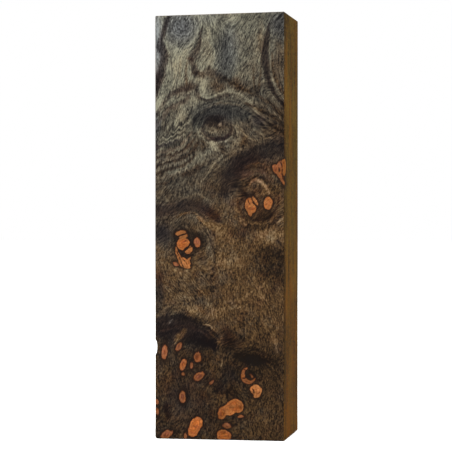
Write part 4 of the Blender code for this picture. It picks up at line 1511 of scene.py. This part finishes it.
def relief(fields, points, sizes):
    """How far each point stands out: seams sink, eyes rise, and the sawn faces ripple."""
    show = fields["show"]
    sunk = ramp_up(SUNK_TONE - fields["shade"], 0.0, SUNK_TONE - FULLY_SUNK_TONE)
    crown = CROWN_SHARE * ramp_up(fields["pip"], *CROWN_DEPTHS)
    x, z = points[:, 0] / MM, points[:, 2] / MM
    ripple = lattice_noise(np.column_stack([z + RIPPLE_LEAN * x, x * RIPPLE_RUN]), RIPPLE)
    height = sizes.seam_depth * (crown - sunk) * show + sizes.saw_depth * ripple * (1 - show)
    return height * ramp_up(fields["arris"], *ARRIS_CLEAR)


class BURL_OT_add_block(bpy.types.Operator):
    """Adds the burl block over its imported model"""

    bl_idname = "burl.add_block"
    bl_label = "Add Burl Block"
    bl_options = {"REGISTER", "UNDO"}

    def execute(self, context):
        sizes = context.scene.burl_sizes
        bm = gridded_block(sizes)
        mesh = bpy.data.meshes.new("burl_skin")
        bm.to_mesh(mesh)
        bm.free()
        count = len(mesh.vertices)
        points, normals = np.empty(count * 3), np.empty(count * 3)
        mesh.vertices.foreach_get("co", points)
        mesh.vertices.foreach_get("normal", normals)
        points, normals = points.reshape(-1, 3), normals.reshape(-1, 3)
        fields = Figure(points, normals).measure()
        for name, values in fields.items():
            layer = mesh.attributes.new(name, "FLOAT", "POINT")
            layer.data.foreach_set("value", values.astype(np.float32))
        points += normals * relief(fields, points, sizes)[:, None]
        mesh.vertices.foreach_set("co", points.reshape(-1).astype(np.float32))
        mesh.shade_smooth()
        lay_out_map(mesh)
        mesh.materials.append(burl_finish(context.scene.burl_colours))
        block = new_object("burl_skin", mesh)
        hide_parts("burl_block")
        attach(block, "root")
        return {"FINISHED"}


def add_camera(stage):
    """The camera at the photograph's angle."""
    data = bpy.data.cameras.new("camera")
    data.lens = stage.lens
    camera = new_object("camera", data)
    out = Vector((
        math.sin(stage.azimuth) * math.cos(stage.elevation),
        -math.cos(stage.azimuth) * math.cos(stage.elevation),
        math.sin(stage.elevation),
    ))
    camera.location = Vector(stage.target) + out * stage.distance
    camera.rotation_euler = (-out).to_track_quat("-Z", "Y").to_euler()
    bpy.context.scene.camera = camera


def add_floor(stage):
    """A plain pale floor under the block, that throws back less light than the camera sees."""
    bm = bmesh.new()
    bmesh.ops.create_grid(bm, x_segments=1, y_segments=1, size=stage.floor_size / 2)
    mesh = bpy.data.meshes.new("floor")
    bm.to_mesh(mesh)
    bm.free()
    material = bpy.data.materials.new("pale_floor")
    material.use_nodes = True
    w = Wiring(material.node_tree)
    shader = material.node_tree.nodes["Principled BSDF"]
    seen = w.node("ShaderNodeLightPath", {}).outputs["Is Camera Ray"]
    colour = w.mix(seen, stage.floor_bounce, stage.floor_colour)
    w.tree.links.new(colour, shader.inputs["Base Color"])
    glow = w.mix(seen, (0, 0, 0, 1), (1, 1, 1, 1))
    w.tree.links.new(glow, shader.inputs["Emission Color"])
    shader.inputs["Emission Strength"].default_value = stage.floor_glow
    shader.inputs["Roughness"].default_value = 1.0
    shader.inputs["Specular IOR Level"].default_value = 0.0
    mesh.materials.append(material)
    floor = new_object("floor", mesh)


def add_world(stage):
    """Even light from all around, in front of a white backdrop."""
    world = bpy.data.worlds.new("studio")
    world.use_nodes = True
    w = Wiring(world.node_tree)
    output = world.node_tree.nodes["World Output"]
    fill = world.node_tree.nodes["Background"]
    fill.inputs["Color"].default_value = (1, 1, 1, 1)
    fill.inputs["Strength"].default_value = stage.fill
    seen = w.node("ShaderNodeBackground", {"Color": (1, 1, 1, 1), "Strength": stage.backdrop})
    ray = w.node("ShaderNodeLightPath", {}).outputs["Is Camera Ray"]
    both = w.node("ShaderNodeMixShader", {0: ray, 1: fill.outputs[0], 2: seen.outputs[0]})
    w.tree.links.new(both.outputs[0], output.inputs["Surface"])
    bpy.context.scene.world = world


def add_lights(stage):
    """A broad light overhead, and softboxes high on all sides."""
    sun = bpy.data.lights.new("overhead", "SUN")
    sun.energy = stage.overhead
    sun.angle = stage.overhead_spread
    new_object("overhead", sun)
    for name, place, width, share in SOFTBOXES:
        box = bpy.data.lights.new(name, "AREA")
        box.energy = stage.box_power * share
        box.size = width
        lamp = new_object(name, box)
        lamp.location = place
        aim = BLOCK_MIDDLE - lamp.location
        lamp.rotation_euler = aim.to_track_quat("-Z", "Y").to_euler()


class BURL_OT_add_stage(bpy.types.Operator):
    """Adds the floor, the studio light and the camera"""

    bl_idname = "burl.add_stage"
    bl_label = "Add Stage"
    bl_options = {"REGISTER", "UNDO"}

    def execute(self, context):
        stage = context.scene.burl_stage
        add_camera(stage)
        add_floor(stage)
        add_world(stage)
        add_lights(stage)
        context.scene.view_settings.view_transform = "Standard"
        return {"FINISHED"}


class BURL_PT_panel(bpy.types.Panel):
    """Lists the block's settings and operators"""

    bl_idname = "BURL_PT_panel"
    bl_label = "Burl Block"
    bl_space_type = "VIEW_3D"
    bl_region_type = "UI"
    bl_category = "Burl Block"

    def draw(self, context):
        layout = self.layout
        layout.operator(BURL_OT_add_block.bl_idname)
        layout.operator(BURL_OT_add_stage.bl_idname)
        for group in (context.scene.burl_sizes, context.scene.burl_colours, context.scene.burl_stage):
            box = layout.box()
            for name in group.__annotations__:
                box.prop(group, name)


CLASSES = (
    BurlBlockSizes,
    BurlBlockColours,
    BurlStage,
    BURL_OT_add_block,
    BURL_OT_add_stage,
    BURL_PT_panel,
)


def register():
    for item in CLASSES:
        bpy.utils.register_class(item)
    bpy.types.Scene.burl_sizes = PointerProperty(type=BurlBlockSizes)
    bpy.types.Scene.burl_colours = PointerProperty(type=BurlBlockColours)
    bpy.types.Scene.burl_stage = PointerProperty(type=BurlStage)


def unregister():
    del bpy.types.Scene.burl_stage
    del bpy.types.Scene.burl_colours
    del bpy.types.Scene.burl_sizes
    for item in reversed(CLASSES):
        bpy.utils.unregister_class(item)


def main():
    register()
    bpy.ops.burl.add_block()
    bpy.ops.burl.add_stage()


if __name__ == "__main__":
    main()
